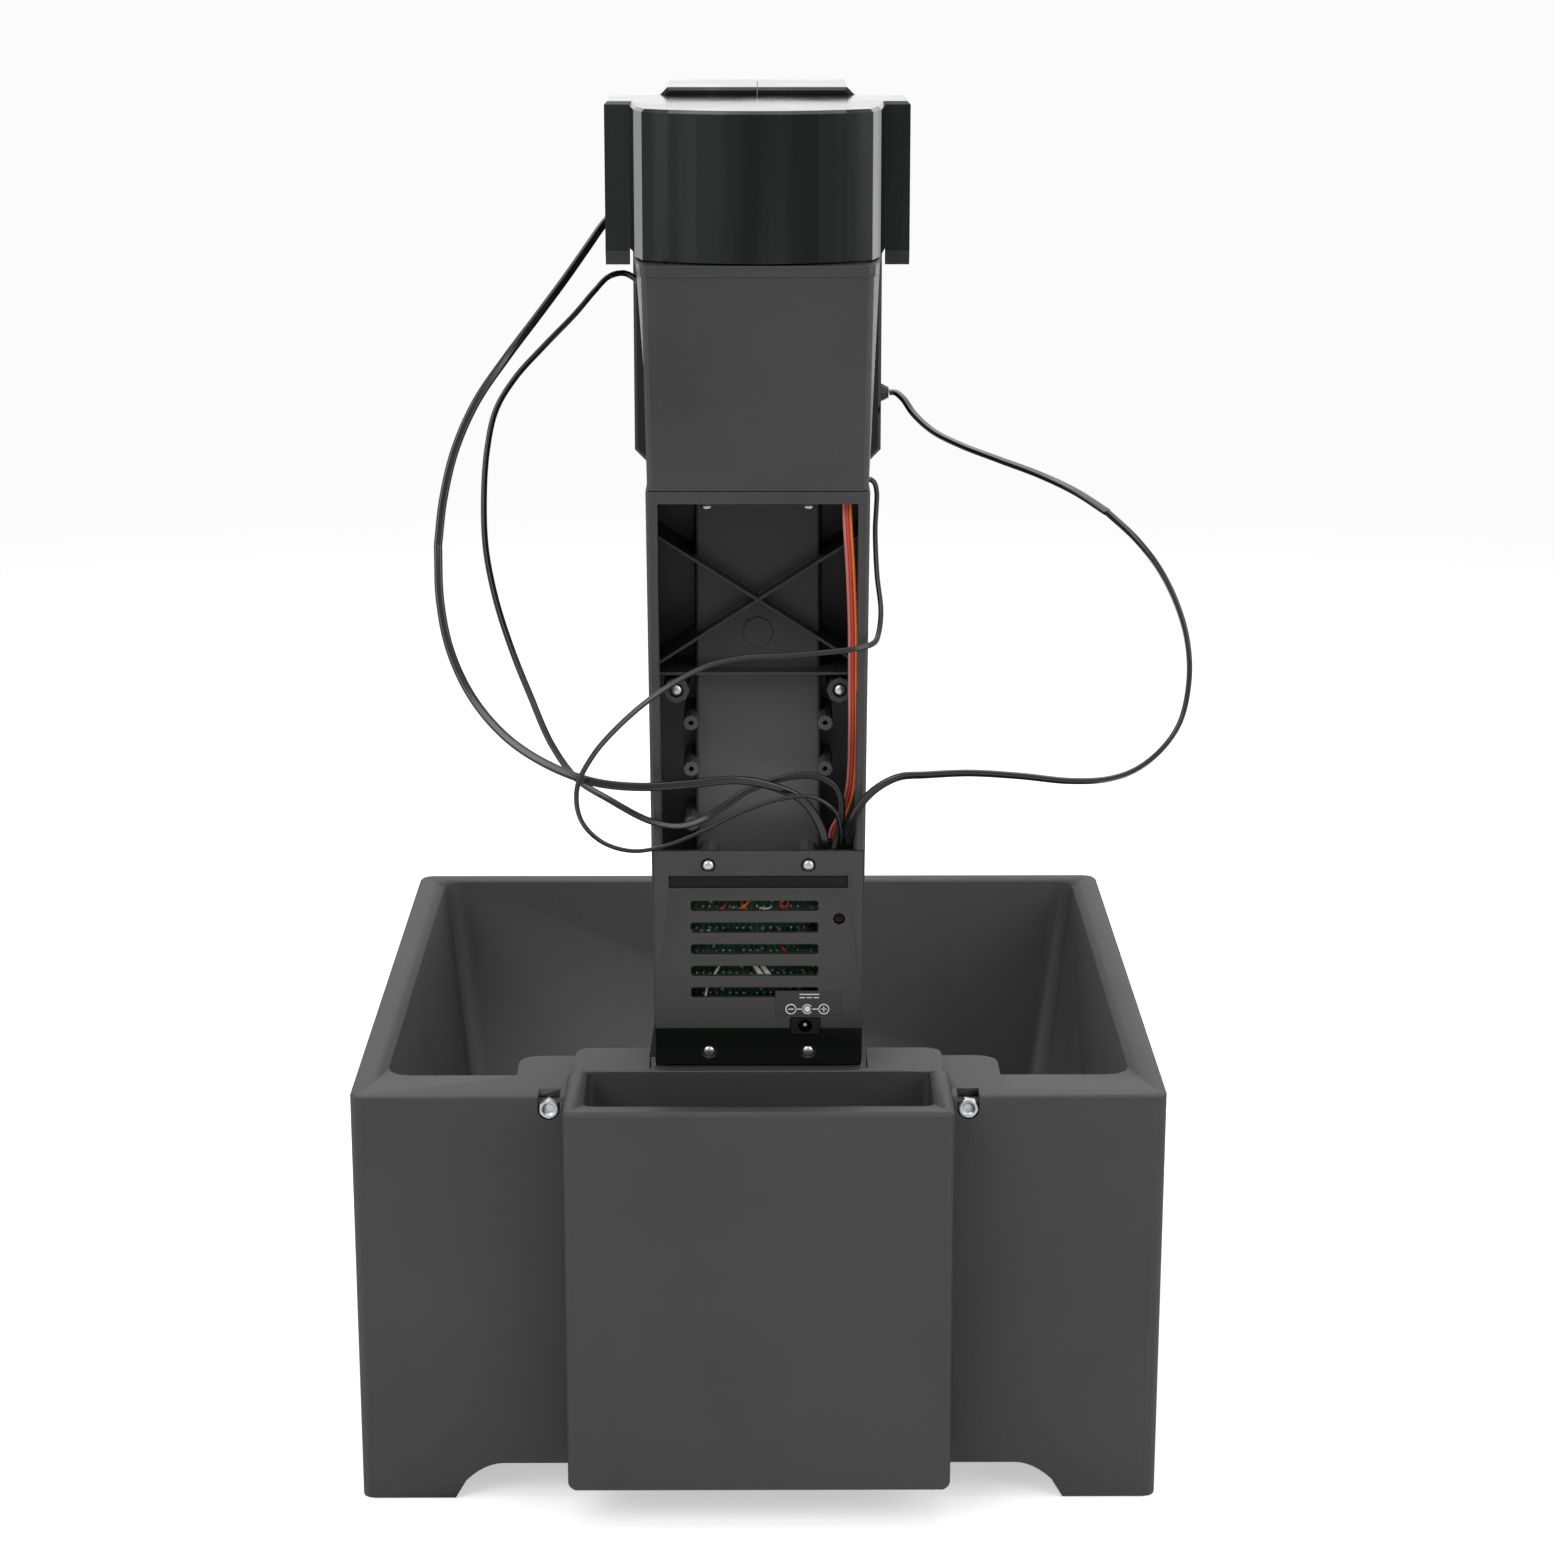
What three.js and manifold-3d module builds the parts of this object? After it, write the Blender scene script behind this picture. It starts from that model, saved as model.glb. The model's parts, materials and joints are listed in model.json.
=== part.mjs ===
import * as THREE from 'three';
import { mergeVertices } from 'three/addons/utils/BufferGeometryUtils.js';
import Module from 'manifold-3d';

const wasm = await Module();
wasm.setup();

// Table tennis ball robot: a square ball bin with a pocket on its rear, a
// hollow column that lifts the balls, a swinging head and a two-wheel turret.
// Millimetres, +Z up, +Y the way the balls fly. The origin lies on the floor
// under the middle of the bin and its pocket.

// Clearances and other values that several pieces share.
const gap = { seat: 0.3, slide: 0.4, swing: 0.6, overrun: 2, weld: 0.001 };
const steps = { large: 32, bore: 24, small: 8, corner: 3, arc: 2, arch: 6, bend: 6, flank: 2, edge: 1 };

// The ball and the bore that it travels in.
const ball = { diameter: 40, freeRoom: 3, squeeze: 3 };
const duct = { wall: 2.5, corner: 1.5, elbowRadius: 28 };

// The bin: a moulded skin with a broad rim, and the hopper hung inside it.
const bin = {
  width: 310, depth: 310, height: 164.7, draft: 0.75, corner: 5, edge: 0.8, skin: 3,
  sideRim: 12, nearRim: 25, farRim: 12.5, rimPlate: 3,
  footWidth: 37, footSlant: 4.3, footSlantRise: 7.3, archCurve: 14.6, archHeight: 14.5, footPlate: 3,
  tabHalf: 93, tabReach: 23.5, tabRound: 8,
};
const hopper = { corner: 9, lean: 11, shoulder: 74, wellTop: 58, floor: 50, wellRadius: 82, wall: 3 };
const lift = { rise: 3.4, halfLength: 22, flatFrom: 6, halfWidth: 8 };

// The pocket that hangs on the rear of the bin and holds the remote control.
const pocket = {
  width: 145.6, overhang: 28, top: 3, bottom: 15.7, sideWall: 7.3, rearWall: 8,
  frontWall: 4.5, floorWall: 4, corner: 3, edge: 1.5, footChamfer: 2.5,
  flangeHalf: 71, flangeReach: 25, flangeRound: 6, flangePlate: 2.7,
};
const bolt = {
  offset: 79.4, height: -5.2, across: 7, head: 3, shank: 4, length: 8, notch: 8.4, earWidth: 15,
  earDepth: 6, earHeight: 11
};

// The column: two half shells round the ball duct.
const column = {
  rearSetIn: 24.4, axisSetIn: 50.6, frontReach: 30, frontRound: 16, bottom: 94, top: 226.8,
  bottomHalf: 39.2, topHalf: 41.6, wall: 3, rearCorner: 1.2, deck: 3, web: 3,
  windowHalf: 37.2, windowBottom: 89.3, windowTop: 222.3,
  gussetTop: 25.3, gussetOut: 3, gussetDepth: 6,
};
const brace = {
  thick: 1.1, rearSetIn: 17, highZ: 209.4, lowZ: 156, levelZ: 154.4, padRadius: 6, padZ: 168.6,
  padRise: 0.5,
};
const boss = {
  screwX: 31, screwZ: 148.1, outer: 5, bore: 2.9, seatSetIn: 18.5, rearSetIn: 16, frontReach: 14,
  smallX: 25.5, smallOuter: 3, smallBore: 1, smallRearSetIn: 17,
  smallTopZ: 135.2, smallMidZ: 117.2, smallLowZ: 95.7,
};

// The vented plate low on the column's rear, and the board behind it.
const plate = {
  half: 39.5, bottom: 3.4, lip: 3, crease: 19.1, thick: 2.5, slant: 3.4,
  slotHalf: 34.1, slotBottom: 74.4, slotTop: 79.7, slotDeep: 1.6,
  ventLeft: -25.8, ventRight: 22.9, ventHigh: 4.1, ventTop: 69.8, ventPitch: 8.6, ventCount: 5,
  lampX: 30.7, lampZ: 62.6, lampRadius: 2.4,
  screwX: 19, screwTopZ: 83.6, screwLowZ: 9.1, sinkRadius: 3.15, sinkDeep: 1.4, screwBoss: 3.4,
};
const screw = { shank: 1.5, pilot: 1.8, head: 2.2, headHigh: 1.7, round: 0.6, length: 12 };
const board = {
  half: 30, bottom: 13.8, top: 78.3, thick: 1.6, setIn: 9.6, standX: 10, standRadius: 2.5, standRise: 10,
  chipHalf: 6, chipHigh: 1.6, chipZ: 49.3, chipX: 9
};
const jack = { x: 17.85, z: 20, halfWidth: 5.45, halfHeight: 3, stand: 0.8, bore: 2.9, deep: 9, pin: 1 };
const header = { left: 24.2, right: 36.2, bottom: 71.3, top: 83.3, rear: 3.3 };

// The neck: the fixed cover over the swing gear.
const neck = {
  bottom: 227.2, top: 310, rearBottomHalf: 41, rearTopHalf: 42.6, frontBottomHalf: 41, frontTopHalf: 46.6,
  length: 56.6, wall: 3, corner: 2, plate: 3, hole: 40, lip: 4, lipOut: 0.5,
  flange: 2, flangeReach: 10, screwX: 19, screwIn: 8.6, screwPad: 2.8, notchHigh: 3.4, notchWide: 4,
  notchIn: 18,
};
const gear = {
  module: 1.5, ringTeeth: 42, pinionTeeth: 12, pressureDeg: 20, addendumShare: 0.85, dedendumShare: 1.25,
  backlash: 0.4, face: 5, directionDeg: -52, sectorTeeth: 13,
};
const bearing = { wall: 4.6, high: 4.6 };
const swingMotor = {
  radius: 9.6, high: 30, shelf: 3, shelfRise: 1.6, shaft: 2, shaftDeep: 5, foot: 3, capRadius: 6, capHigh: 4
};

// The head: what swings on the column about the duct's axis.
const head = {
  exitZ: 290.8, plateThick: 5.4, carrierThick: 4.5, carrierSetIn: 3.9, plateHalf: 42, hubRadius: 38,
  shoulderZ: 315.3,
  collarWall: 4.65, collarFlange: 4, collarFlangeThick: 2.2, yokeThick: 4.5, yokeRing: 38, yokeRoom: 0.6,
  armHalf: 16,
  elbowShoulder: 2, elbowShoulderHigh: 2.4, sensorWide: 9, sensorLong: 12, sensorHigh: 10,
};
const visor = {
  bottom: 304.3, top: 365.5, wingHalf: 57.6, wingLength: 37.4, sideFrontHalf: 48.4, sideRearHalf: 42.2,
  panelRadius: 73, panelOut: 0.6, wall: 2.5, bevelHigh: 5.3, bevelIn: 2, topRound: 1.2, lowRoom: 49.2,
  seamRoom: 0.7,
};

// The turret: two half shells round the throwing wheels.
const turret = {
  setOut: 46, depth: 54, half: 48.6, halfHeight: 77.5, chamferWide: 13.9, chamferHigh: 14, edge: 1.2,
  wall: 3,
  rearBore: 22.5, guideHalf: 21.8, guideHigh: 16, guideThick: 2, mountThick: 2, mountHalf: 17, mountHole: 5,
  screwZ: 60.5, screwIn: 7.5, screwBoss: 2.6, screwSink: 2.4, glandIn: 9, glandUpperZ: 319.3,
  glandLowerZ: 248.8, glandRadius: 3.6, glandHigh: 2.9,
};
const wheel = {
  radius: 22.5, halfWidth: 9, rubber: 6, crownIn: 1.4, hubHalf: 8, webThick: 6, rimWall: 3, boss: 5
};
const drive = {
  radius: 14, length: 31, shaft: 1.6, bell: 4.4, bellHigh: 1.6, round: 2, room: 2.4, depth: 10
};
const nozzle = { wall: 1.9, reach: 8, inside: 5, flange: 5.5, flangeThick: 2 };

// The feed wheel and its motor under the hopper floor.
const feeder = {
  pocketRadius: 56, pockets: 6, radius: 72, bottom: 54, top: 70, hub: 16, hubTop: 82, hubRound: 5, shaft: 3,
  shaftDeep: 16
};
const feedMotor = { radius: 18.5, bottom: 18 };
const cover = { bottom: 14.8, thick: 2.5 };

// Cables: diameters, section sides and steps along each route.
const cable = {
  thick: 3, thin: 2, twin: 2.4, wire: 1.3, wires: 3, sides: 8, stepPerDiameters: 3, ribbonSteps: 14
};
const plug = { left: 24, right: 33, bottom: 78.8, top: 90.3, depth: 5 };

// Heights that are given above the bin's rim, raised here to heights above the floor.
const aboveRim = [
  [pocket, 'top'],
  [bolt, 'height'],
  [column, 'top', 'windowBottom', 'windowTop', 'gussetTop'],
  [brace, 'highZ', 'lowZ', 'levelZ', 'padZ'],
  [boss, 'screwZ', 'smallTopZ', 'smallMidZ', 'smallLowZ'],
  [plate, 'bottom', 'crease', 'slotBottom', 'slotTop', 'ventTop', 'lampZ', 'screwTopZ', 'screwLowZ'],
  [board, 'bottom', 'top', 'chipZ'],
  [jack, 'z'],
  [header, 'bottom', 'top'],
  [plug, 'bottom', 'top'],
  [neck, 'bottom', 'top'],
  [head, 'exitZ', 'shoulderZ'],
  [visor, 'bottom', 'top'],
  [turret, 'glandUpperZ', 'glandLowerZ'],
];
for (const [sizes, ...names] of aboveRim) {
  for (const name of names) sizes[name] += bin.height;
}

// The cables' routes, from the turret and the head down to the header.
const routes = {
  upperLead: [
    [-52.1, -11, 484], [-54.4, -11, 484], [-57.3, -12.6, 482.8], [-60.2, -16, 480], [-65.8, -24, 472.5],
    [-74.4, -34, 460.9], [-85.2, -45, 447.1],
    [-96.3, -55, 433.1], [-107.5, -63, 417.3], [-115.4, -70, 399.9], [-119.8, -76, 381.7],
    [-121.7, -81, 365.2],
  ],
  upper: [
    [-121.7, -81.2, 364.6], [-120.8, -88, 345.3], [-116.8, -95, 327.4], [-108.2, -103, 310.9],
    [-95, -112, 297.5], [-78.8, -121, 288.9],
    [-61.4, -126, 283.5], [-43.8, -126, 281.6], [-25.5, -124, 282.2], [-8.7, -121.5, 283.1],
    [3.7, -118.5, 280.4], [16.5, -116, 274],
    [22.5, -114.4, 265.5], [25.1, -112.4, 257.5], [25.5, -110.9, 252.5], [25.5, -110.3, 248.3],
  ],
  sensor: [
    [-33.6, -42, 455.5], [-38, -42, 456.5], [-45, -42, 460.5], [-51, -42.5, 464], [-57, -44.5, 463],
    [-62.5, -48, 457.8], [-69.9, -52, 449.5],
    [-81.2, -58, 438.4], [-92.4, -64, 426.6], [-99.6, -68, 415], [-103, -72, 400.2], [-104.2, -77, 381.9],
    [-103.4, -82, 363.5],
    [-99.6, -87, 345.1], [-93.5, -92, 326.7], [-86.6, -98, 310.6], [-78.1, -106, 293], [-68.4, -113, 281.4],
    [-55.8, -118.5, 274.6],
    [-40.8, -120.5, 267], [-29.6, -117, 264.1], [-20.2, -112.5, 266], [-13, -110, 269.9],
    [-3.9, -108.5, 275.7], [7.5, -108, 279.8],
    [15.9, -108, 281.4], [24.2, -108, 280.4], [30.3, -108, 275.6], [31.8, -108.2, 266], [29.8, -108.8, 257],
    [28.5, -109.8, 252.3], [28.3, -110.3, 248.3],
  ],
  lowerLead: [
    [52.1, -11, 413.5], [54.4, -11, 413.5], [57.4, -13, 411.4], [61.6, -18.6, 406], [68.8, -26.6, 400.4],
    [79, -36, 396.4], [93.8, -49, 392.5],
    [108.4, -62, 388.8], [121.3, -74, 384.2], [132.4, -84, 378.2],
  ],
  lower: [
    [132.9, -84.5, 377.9], [142.3, -93, 369.9], [150.6, -99, 359.9], [157.1, -104, 347.5],
    [161.2, -108, 333.7], [162, -111, 319],
    [158.7, -114, 303.5], [151.5, -117, 293.4], [141.6, -120, 286.4], [131.3, -122, 283.4],
    [116.9, -124, 283.2], [98, -125, 285.4],
    [79.2, -126, 286.8], [62.4, -126, 286.1], [53, -126, 285.4], [45.5, -125, 281.5], [39.6, -123, 275.5],
    [35.8, -119.8, 268],
    [34.6, -115.4, 260.5], [34.4, -112.3, 255.5], [34.3, -110.8, 251.8], [34.3, -110.3, 248.3],
  ],
  swing: [
    [32.2, -90.6, 412], [35, -87.4, 410.6], [36.4, -86, 406], [36.4, -86, 401.4], [36.1, -88.8, 397.6],
    [35.7, -93.4, 394.9], [36.1, -97.2, 393.8],
    [38.4, -98.6, 393.6], [41, -98.8, 393.6], [43.4, -99, 392.4], [44.5, -99, 388.4], [44.4, -99.3, 383],
    [44, -100, 374.3], [44.7, -103, 357.7], [46.1, -107, 345.1], [45.2, -112.5, 337.8],
    [43.2, -118.6, 335], [37, -122.6, 333.8], [23, -124, 332.3], [10, -125.5, 331.5], [-4.8, -126, 330.9],
    [-19.7, -127, 327.7],
    [-36.4, -129, 318.7], [-51.3, -131, 306.6], [-61.7, -133, 294.9], [-67.4, -134, 282.9],
    [-66.1, -134, 271], [-58.4, -133, 262.2],
    [-47.2, -132, 258.4], [-34.9, -130, 259.8], [-20, -127, 265.2], [-5, -124.5, 271.9],
    [8.9, -121.5, 275.7], [20.2, -120, 276.1],
    [28.6, -118.6, 270.5], [30.9, -115.2, 262.5], [31.2, -112.4, 256.5], [31.2, -110.8, 252],
    [31.2, -110.3, 248.3],
  ],
  ribbon: [
    [33.2, -110.6, 388.1], [33.2, -110.9, 384.5], [33.6, -112.9, 375.5], [34.4, -113.2, 363.8],
    [35.4, -113.2, 340.9], [35.6, -113.2, 317.8],
    [35.8, -110, 299], [35.7, -105, 284.5], [34.6, -103, 272.5], [31.4, -102.6, 263], [29, -102.6, 258.6],
    [28.5, -102.6, 255.3],
  ],
};


// Places that follow from the sizes above.
const place = {};
place.binY = pocket.overhang / 2;
place.nearFace = place.binY - bin.depth / 2;
place.farFace = place.binY + bin.depth / 2;
place.columnRear = place.nearFace + column.rearSetIn;
place.axisY = place.columnRear + column.axisSetIn;
place.columnFront = place.axisY + column.frontReach;
place.pocketRear = place.nearFace - pocket.overhang;
place.pocketFront = place.columnRear - gap.slide;
place.feedY = place.axisY + feeder.pocketRadius;
place.bore = (ball.diameter + ball.freeRoom) / 2;
place.ductOuter = place.bore + duct.wall;
place.turretRear = place.axisY + turret.setOut;
place.wheelY = place.turretRear + turret.depth / 2;
place.wheelRise = (ball.diameter - ball.squeeze) / 2 + wheel.radius;
place.headPlateFront = place.turretRear - gap.swing;
place.headPlateRear = place.headPlateFront - head.plateThick;
place.neckFront = place.columnRear + neck.length;
place.visorRear = place.columnRear - visor.panelOut;
place.gearDistance = gear.module * (gear.ringTeeth + gear.pinionTeeth) / 2;
place.gearDirection = THREE.MathUtils.degToRad(gear.directionDeg);
place.pinionX = place.gearDistance * Math.cos(place.gearDirection);
place.pinionY = place.axisY + place.gearDistance * Math.sin(place.gearDirection);
place.gearBottom = column.top + gap.seat + bearing.high + gap.seat;
place.gearTop = place.gearBottom + gear.face;

// Turns positions and triangles into a solid whose faces point out.
function solidFrom(positions, triangles) {
  const kept = [];
  let volume = 0;
  const corner = (index) => new THREE.Vector3().fromArray(positions, index * 3);
  for (let i = 0; i < triangles.length; i += 3) {
    const [a, b, c] = [triangles[i], triangles[i + 1], triangles[i + 2]];
    if (a === b || b === c || c === a) continue;
    kept.push([a, b, c]);
    volume += corner(a).dot(corner(b).cross(corner(c)));
  }
  const triVerts = Uint32Array.from(kept.flatMap(([a, b, c]) => (volume < 0 ? [a, c, b] : [a, b, c])));
  return new wasm.Manifold(new wasm.Mesh({
    numProp: 3, vertProperties: Float32Array.from(positions), triVerts
  }));
}

function solid(geometry) {
  const bare = geometry.clone();
  for (const name of Object.keys(bare.attributes)) if (name !== 'position') bare.deleteAttribute(name);
  const merged = mergeVertices(bare, gap.weld);
  return solidFrom(merged.attributes.position.array, merged.index.array);
}

// (u, v, w) of an outline and its height, laid along one of the axes.
const axisMatrix = {
  x: new THREE.Matrix4().set(0, 0, 1, 0, 1, 0, 0, 0, 0, 1, 0, 0, 0, 0, 0, 1),
  y: new THREE.Matrix4().set(1, 0, 0, 0, 0, 0, 1, 0, 0, 1, 0, 0, 0, 0, 0, 1),
  z: new THREE.Matrix4(),
};

const toPoints = (outline) => outline.map(([u, v]) => new THREE.Vector2(u, v));

// An outline extruded along an axis from one place to another, with bevelled ends if edge is given.
function prism(axis, outline, from, to, { holes = [], edge = 0 } = {}) {
  const shape = new THREE.Shape(toPoints(outline));
  shape.holes = holes.map((hole) => new THREE.Path(toPoints(hole)));
  const geometry = new THREE.ExtrudeGeometry(shape, {
    depth: to - from - 2 * edge, steps: 1, bevelEnabled: edge > 0,
    bevelThickness: edge, bevelSize: edge, bevelOffset: -edge, bevelSegments: steps.edge,
  });
  geometry.translate(0, 0, from + edge);
  return solid(geometry.applyMatrix4(axisMatrix[axis]));
}

const box = (x0, x1, y0, y1, z0, z1) => prism('z', [[x0, y0], [x1, y0], [x1, y1], [x0, y1]], z0, z1);

function disc(u, v, radius, count = steps.bore) {
  return Array.from({ length: count }, (_, i) => {
    const angle = (i / count) * Math.PI * 2;
    return [u + radius * Math.cos(angle), v + radius * Math.sin(angle)];
  });
}

// A rectangle with rounded corners, the same number of points for any size.
function rounded(u0, u1, v0, v1, radius, count = steps.corner) {
  const corners = [
    [u1 - radius, v0 + radius, -90], [u1 - radius, v1 - radius, 0], [u0 + radius, v1 - radius, 90],
    [u0 + radius, v0 + radius, 180]
  ];
  return corners.flatMap(([u, v, start]) => Array.from({ length: count + 1 }, (_, i) => {
    const angle = THREE.MathUtils.degToRad(start + (i / count) * 90);
    return [u + radius * Math.cos(angle), v + radius * Math.sin(angle)];
  }));
}

const rod = (
  axis, u, v, radius, from, to, count = steps.small
) => prism(axis, disc(u, v, radius, count), from, to);
const pipe = (axis, u, v, outer, inner, from, to, count = steps.bore) =>
  rod(axis, u, v, outer, from, to, count)
    .subtract(rod(axis, u, v, inner, from - gap.overrun, to + gap.overrun, count));

// A profile of radius and height turned about an axis through (u, v).
function turned(axis, u, v, profile, count = steps.bore) {
  const geometry = new THREE.LatheGeometry(profile.map(([r, w]) => new THREE.Vector2(r, w)), count);
  geometry.applyMatrix4(new THREE.Matrix4().set(1, 0, 0, u, 0, 0, 1, v, 0, 1, 0, 0, 0, 0, 0, 1));
  return solid(geometry.applyMatrix4(axisMatrix[axis]));
}

// Rings of points joined in turn, the first and the last closed by a cap.
function loft(rings) {
  const count = rings[0].length;
  const positions = rings.flat(2);
  const triangles = [];
  for (let i = 0; i + 1 < rings.length; i++) {
    for (let j = 0; j < count; j++) {
      const [a, b] = [i * count + j, i * count + ((j + 1) % count)];
      triangles.push(a, b, b + count, a, b + count, a + count);
    }
  }
  [
    [rings[0], 0, true], [rings.at(-1), (rings.length - 1) * count, false]
  ].forEach(([ring, first, turnOver]) => {
    const normal = new THREE.Vector3();
    ring.forEach((point, j) =>
      normal.add(new THREE.Vector3(...point).cross(new THREE.Vector3(...ring[(j + 1) % count])))
    );
    const size = normal.toArray().map(Math.abs);
    const drop = size.indexOf(Math.max(...size));
    const [u, v] = [(drop + 1) % 3, (drop + 2) % 3];
    const ccw = normal.getComponent(drop) > 0;
    const flat = ring.map((point) => new THREE.Vector2(point[u], point[v]));
    for (const [a, b, c] of THREE.ShapeUtils.triangulateShape(flat, [])) {
      const area = (
        flat[b].x - flat[a].x
      ) * (flat[c].y - flat[a].y) - (flat[c].x - flat[a].x) * (flat[b].y - flat[a].y);
      const same = (area > 0) === ccw;
      const [p, q, r] = same !== turnOver ? [a, b, c] : [a, c, b];
      triangles.push(first + p, first + q, first + r);
    }
  });
  return solidFrom(positions, triangles);
}

const level = (outline, z) => outline.map(([x, y]) => [x, y, z]);

// An outline moved in (or out, if negative) by a distance, each corner mitred.
function inset(outline, distance) {
  const area = outline.reduce((sum, [u, v], i) => {
    const [nu, nv] = outline[(i + 1) % outline.length];
    return sum + u * nv - nu * v;
  }, 0);
  const side = Math.sign(area);
  return outline.map(([u, v], i) => {
    const before = outline[(i - 1 + outline.length) % outline.length];
    const after = outline[(i + 1) % outline.length];
    const d0 = new THREE.Vector2(u - before[0], v - before[1]).normalize();
    const d1 = new THREE.Vector2(after[0] - u, after[1] - v).normalize();
    const n0 = new THREE.Vector2(-d0.y, d0.x).multiplyScalar(side);
    const n1 = new THREE.Vector2(-d1.y, d1.x).multiplyScalar(side);
    const mitre = n0.clone().add(n1).divideScalar(1 + n0.dot(n1));
    return [u + mitre.x * distance, v + mitre.y * distance];
  });
}

const joined = (...solids) => solids.reduce((sum, next) => sum.add(next));
const span = (side, a, b) => (side < 0 ? [-b, -a] : [a, b]);

// The finishes, each close to the colour that the piece shows.
const finish = {
  bin: { color: 0x434343, roughness: 0.75 },
  satin: { color: 0x3f4041, roughness: 0.5 },
  gloss: { color: 0x222526, roughness: 0.18 },
  inner: { color: 0x303131, roughness: 0.6 },
  steel: { color: 0xb9bcc0, roughness: 0.3, metalness: 1 },
  rubber: { color: 0x1b1b1b, roughness: 0.9 },
  foam: { color: 0x5a3c2a, roughness: 0.95 },
  board: { color: 0x1f6b3d, roughness: 0.5 },
  white: { color: 0xe9e7e0, roughness: 0.5 },
  cord: { color: 0x141414, roughness: 0.55 },
  ribbon: { color: 0x9b4a3a, roughness: 0.5 },
};

const robot = new THREE.Group();
const groups = {};
function add(group, name, made, look) {
  const { vertProperties, triVerts, numProp } = made.getMesh();
  const geometry = new THREE.BufferGeometry();
  const positions = new Float32Array((vertProperties.length / numProp) * 3);
  for (let i = 0; i < positions.length / 3; i++) {
    positions.set(vertProperties.subarray(i * numProp, i * numProp + 3), i * 3);
  }
  geometry.setAttribute('position', new THREE.BufferAttribute(positions, 3));
  geometry.setIndex(new THREE.BufferAttribute(Uint32Array.from(triVerts), 1));
  geometry.computeVertexNormals();
  const mesh = new THREE.Mesh(geometry, new THREE.MeshStandardMaterial(finish[look]));
  mesh.name = name;
  groups[group] ??= robot.add(new THREE.Group()).children.at(-1);
  groups[group].add(mesh);
}

// The hopper's rings, grown by a wall where it is the outside of the hopper.
function hopperShape(grow, topZ) {
  const rim = rounded(
    -bin.width / 2 + bin.sideRim - grow, bin.width / 2 - bin.sideRim + grow,
    place.nearFace + bin.nearRim - grow, place.farFace - bin.farRim + grow, hopper.corner + grow,
    steps.corner,
  );
  // Points along the straight sides keep the funnel smooth.
  const fine = rim.flatMap(([u, v], i) => {
    const [nu, nv] = rim[(i + 1) % rim.length];
    const long = Math.hypot(nu - u, nv - v) > hopper.wellRadius;
    return long ? [0, 1, 2, 3].map((k) => [u + ((nu - u) * k) / 4, v + ((nv - v) * k) / 4]) : [[u, v]];
  });
  const low = fine.map(([u, v]) => {
    const [halfX, halfY] = [
      bin.width / 2 - bin.sideRim + grow, (bin.depth - bin.nearRim - bin.farRim) / 2 + grow
    ];
    const midY = (place.nearFace + bin.nearRim + place.farFace - bin.farRim) / 2;
    return [(u * (halfX - hopper.lean)) / halfX, midY + ((v - midY) * (halfY - hopper.lean)) / halfY];
  });
  const well = fine.map(([u, v]) => {
    const angle = Math.atan2(v - place.feedY, u);
    const radius = hopper.wellRadius + grow;
    return [radius * Math.cos(angle), place.feedY + radius * Math.sin(angle)];
  });
  return loft([
    level(fine, topZ), level(low, hopper.shoulder - grow), level(well, hopper.wellTop - grow),
    level(well, hopper.floor - grow)
  ]);
}

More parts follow.
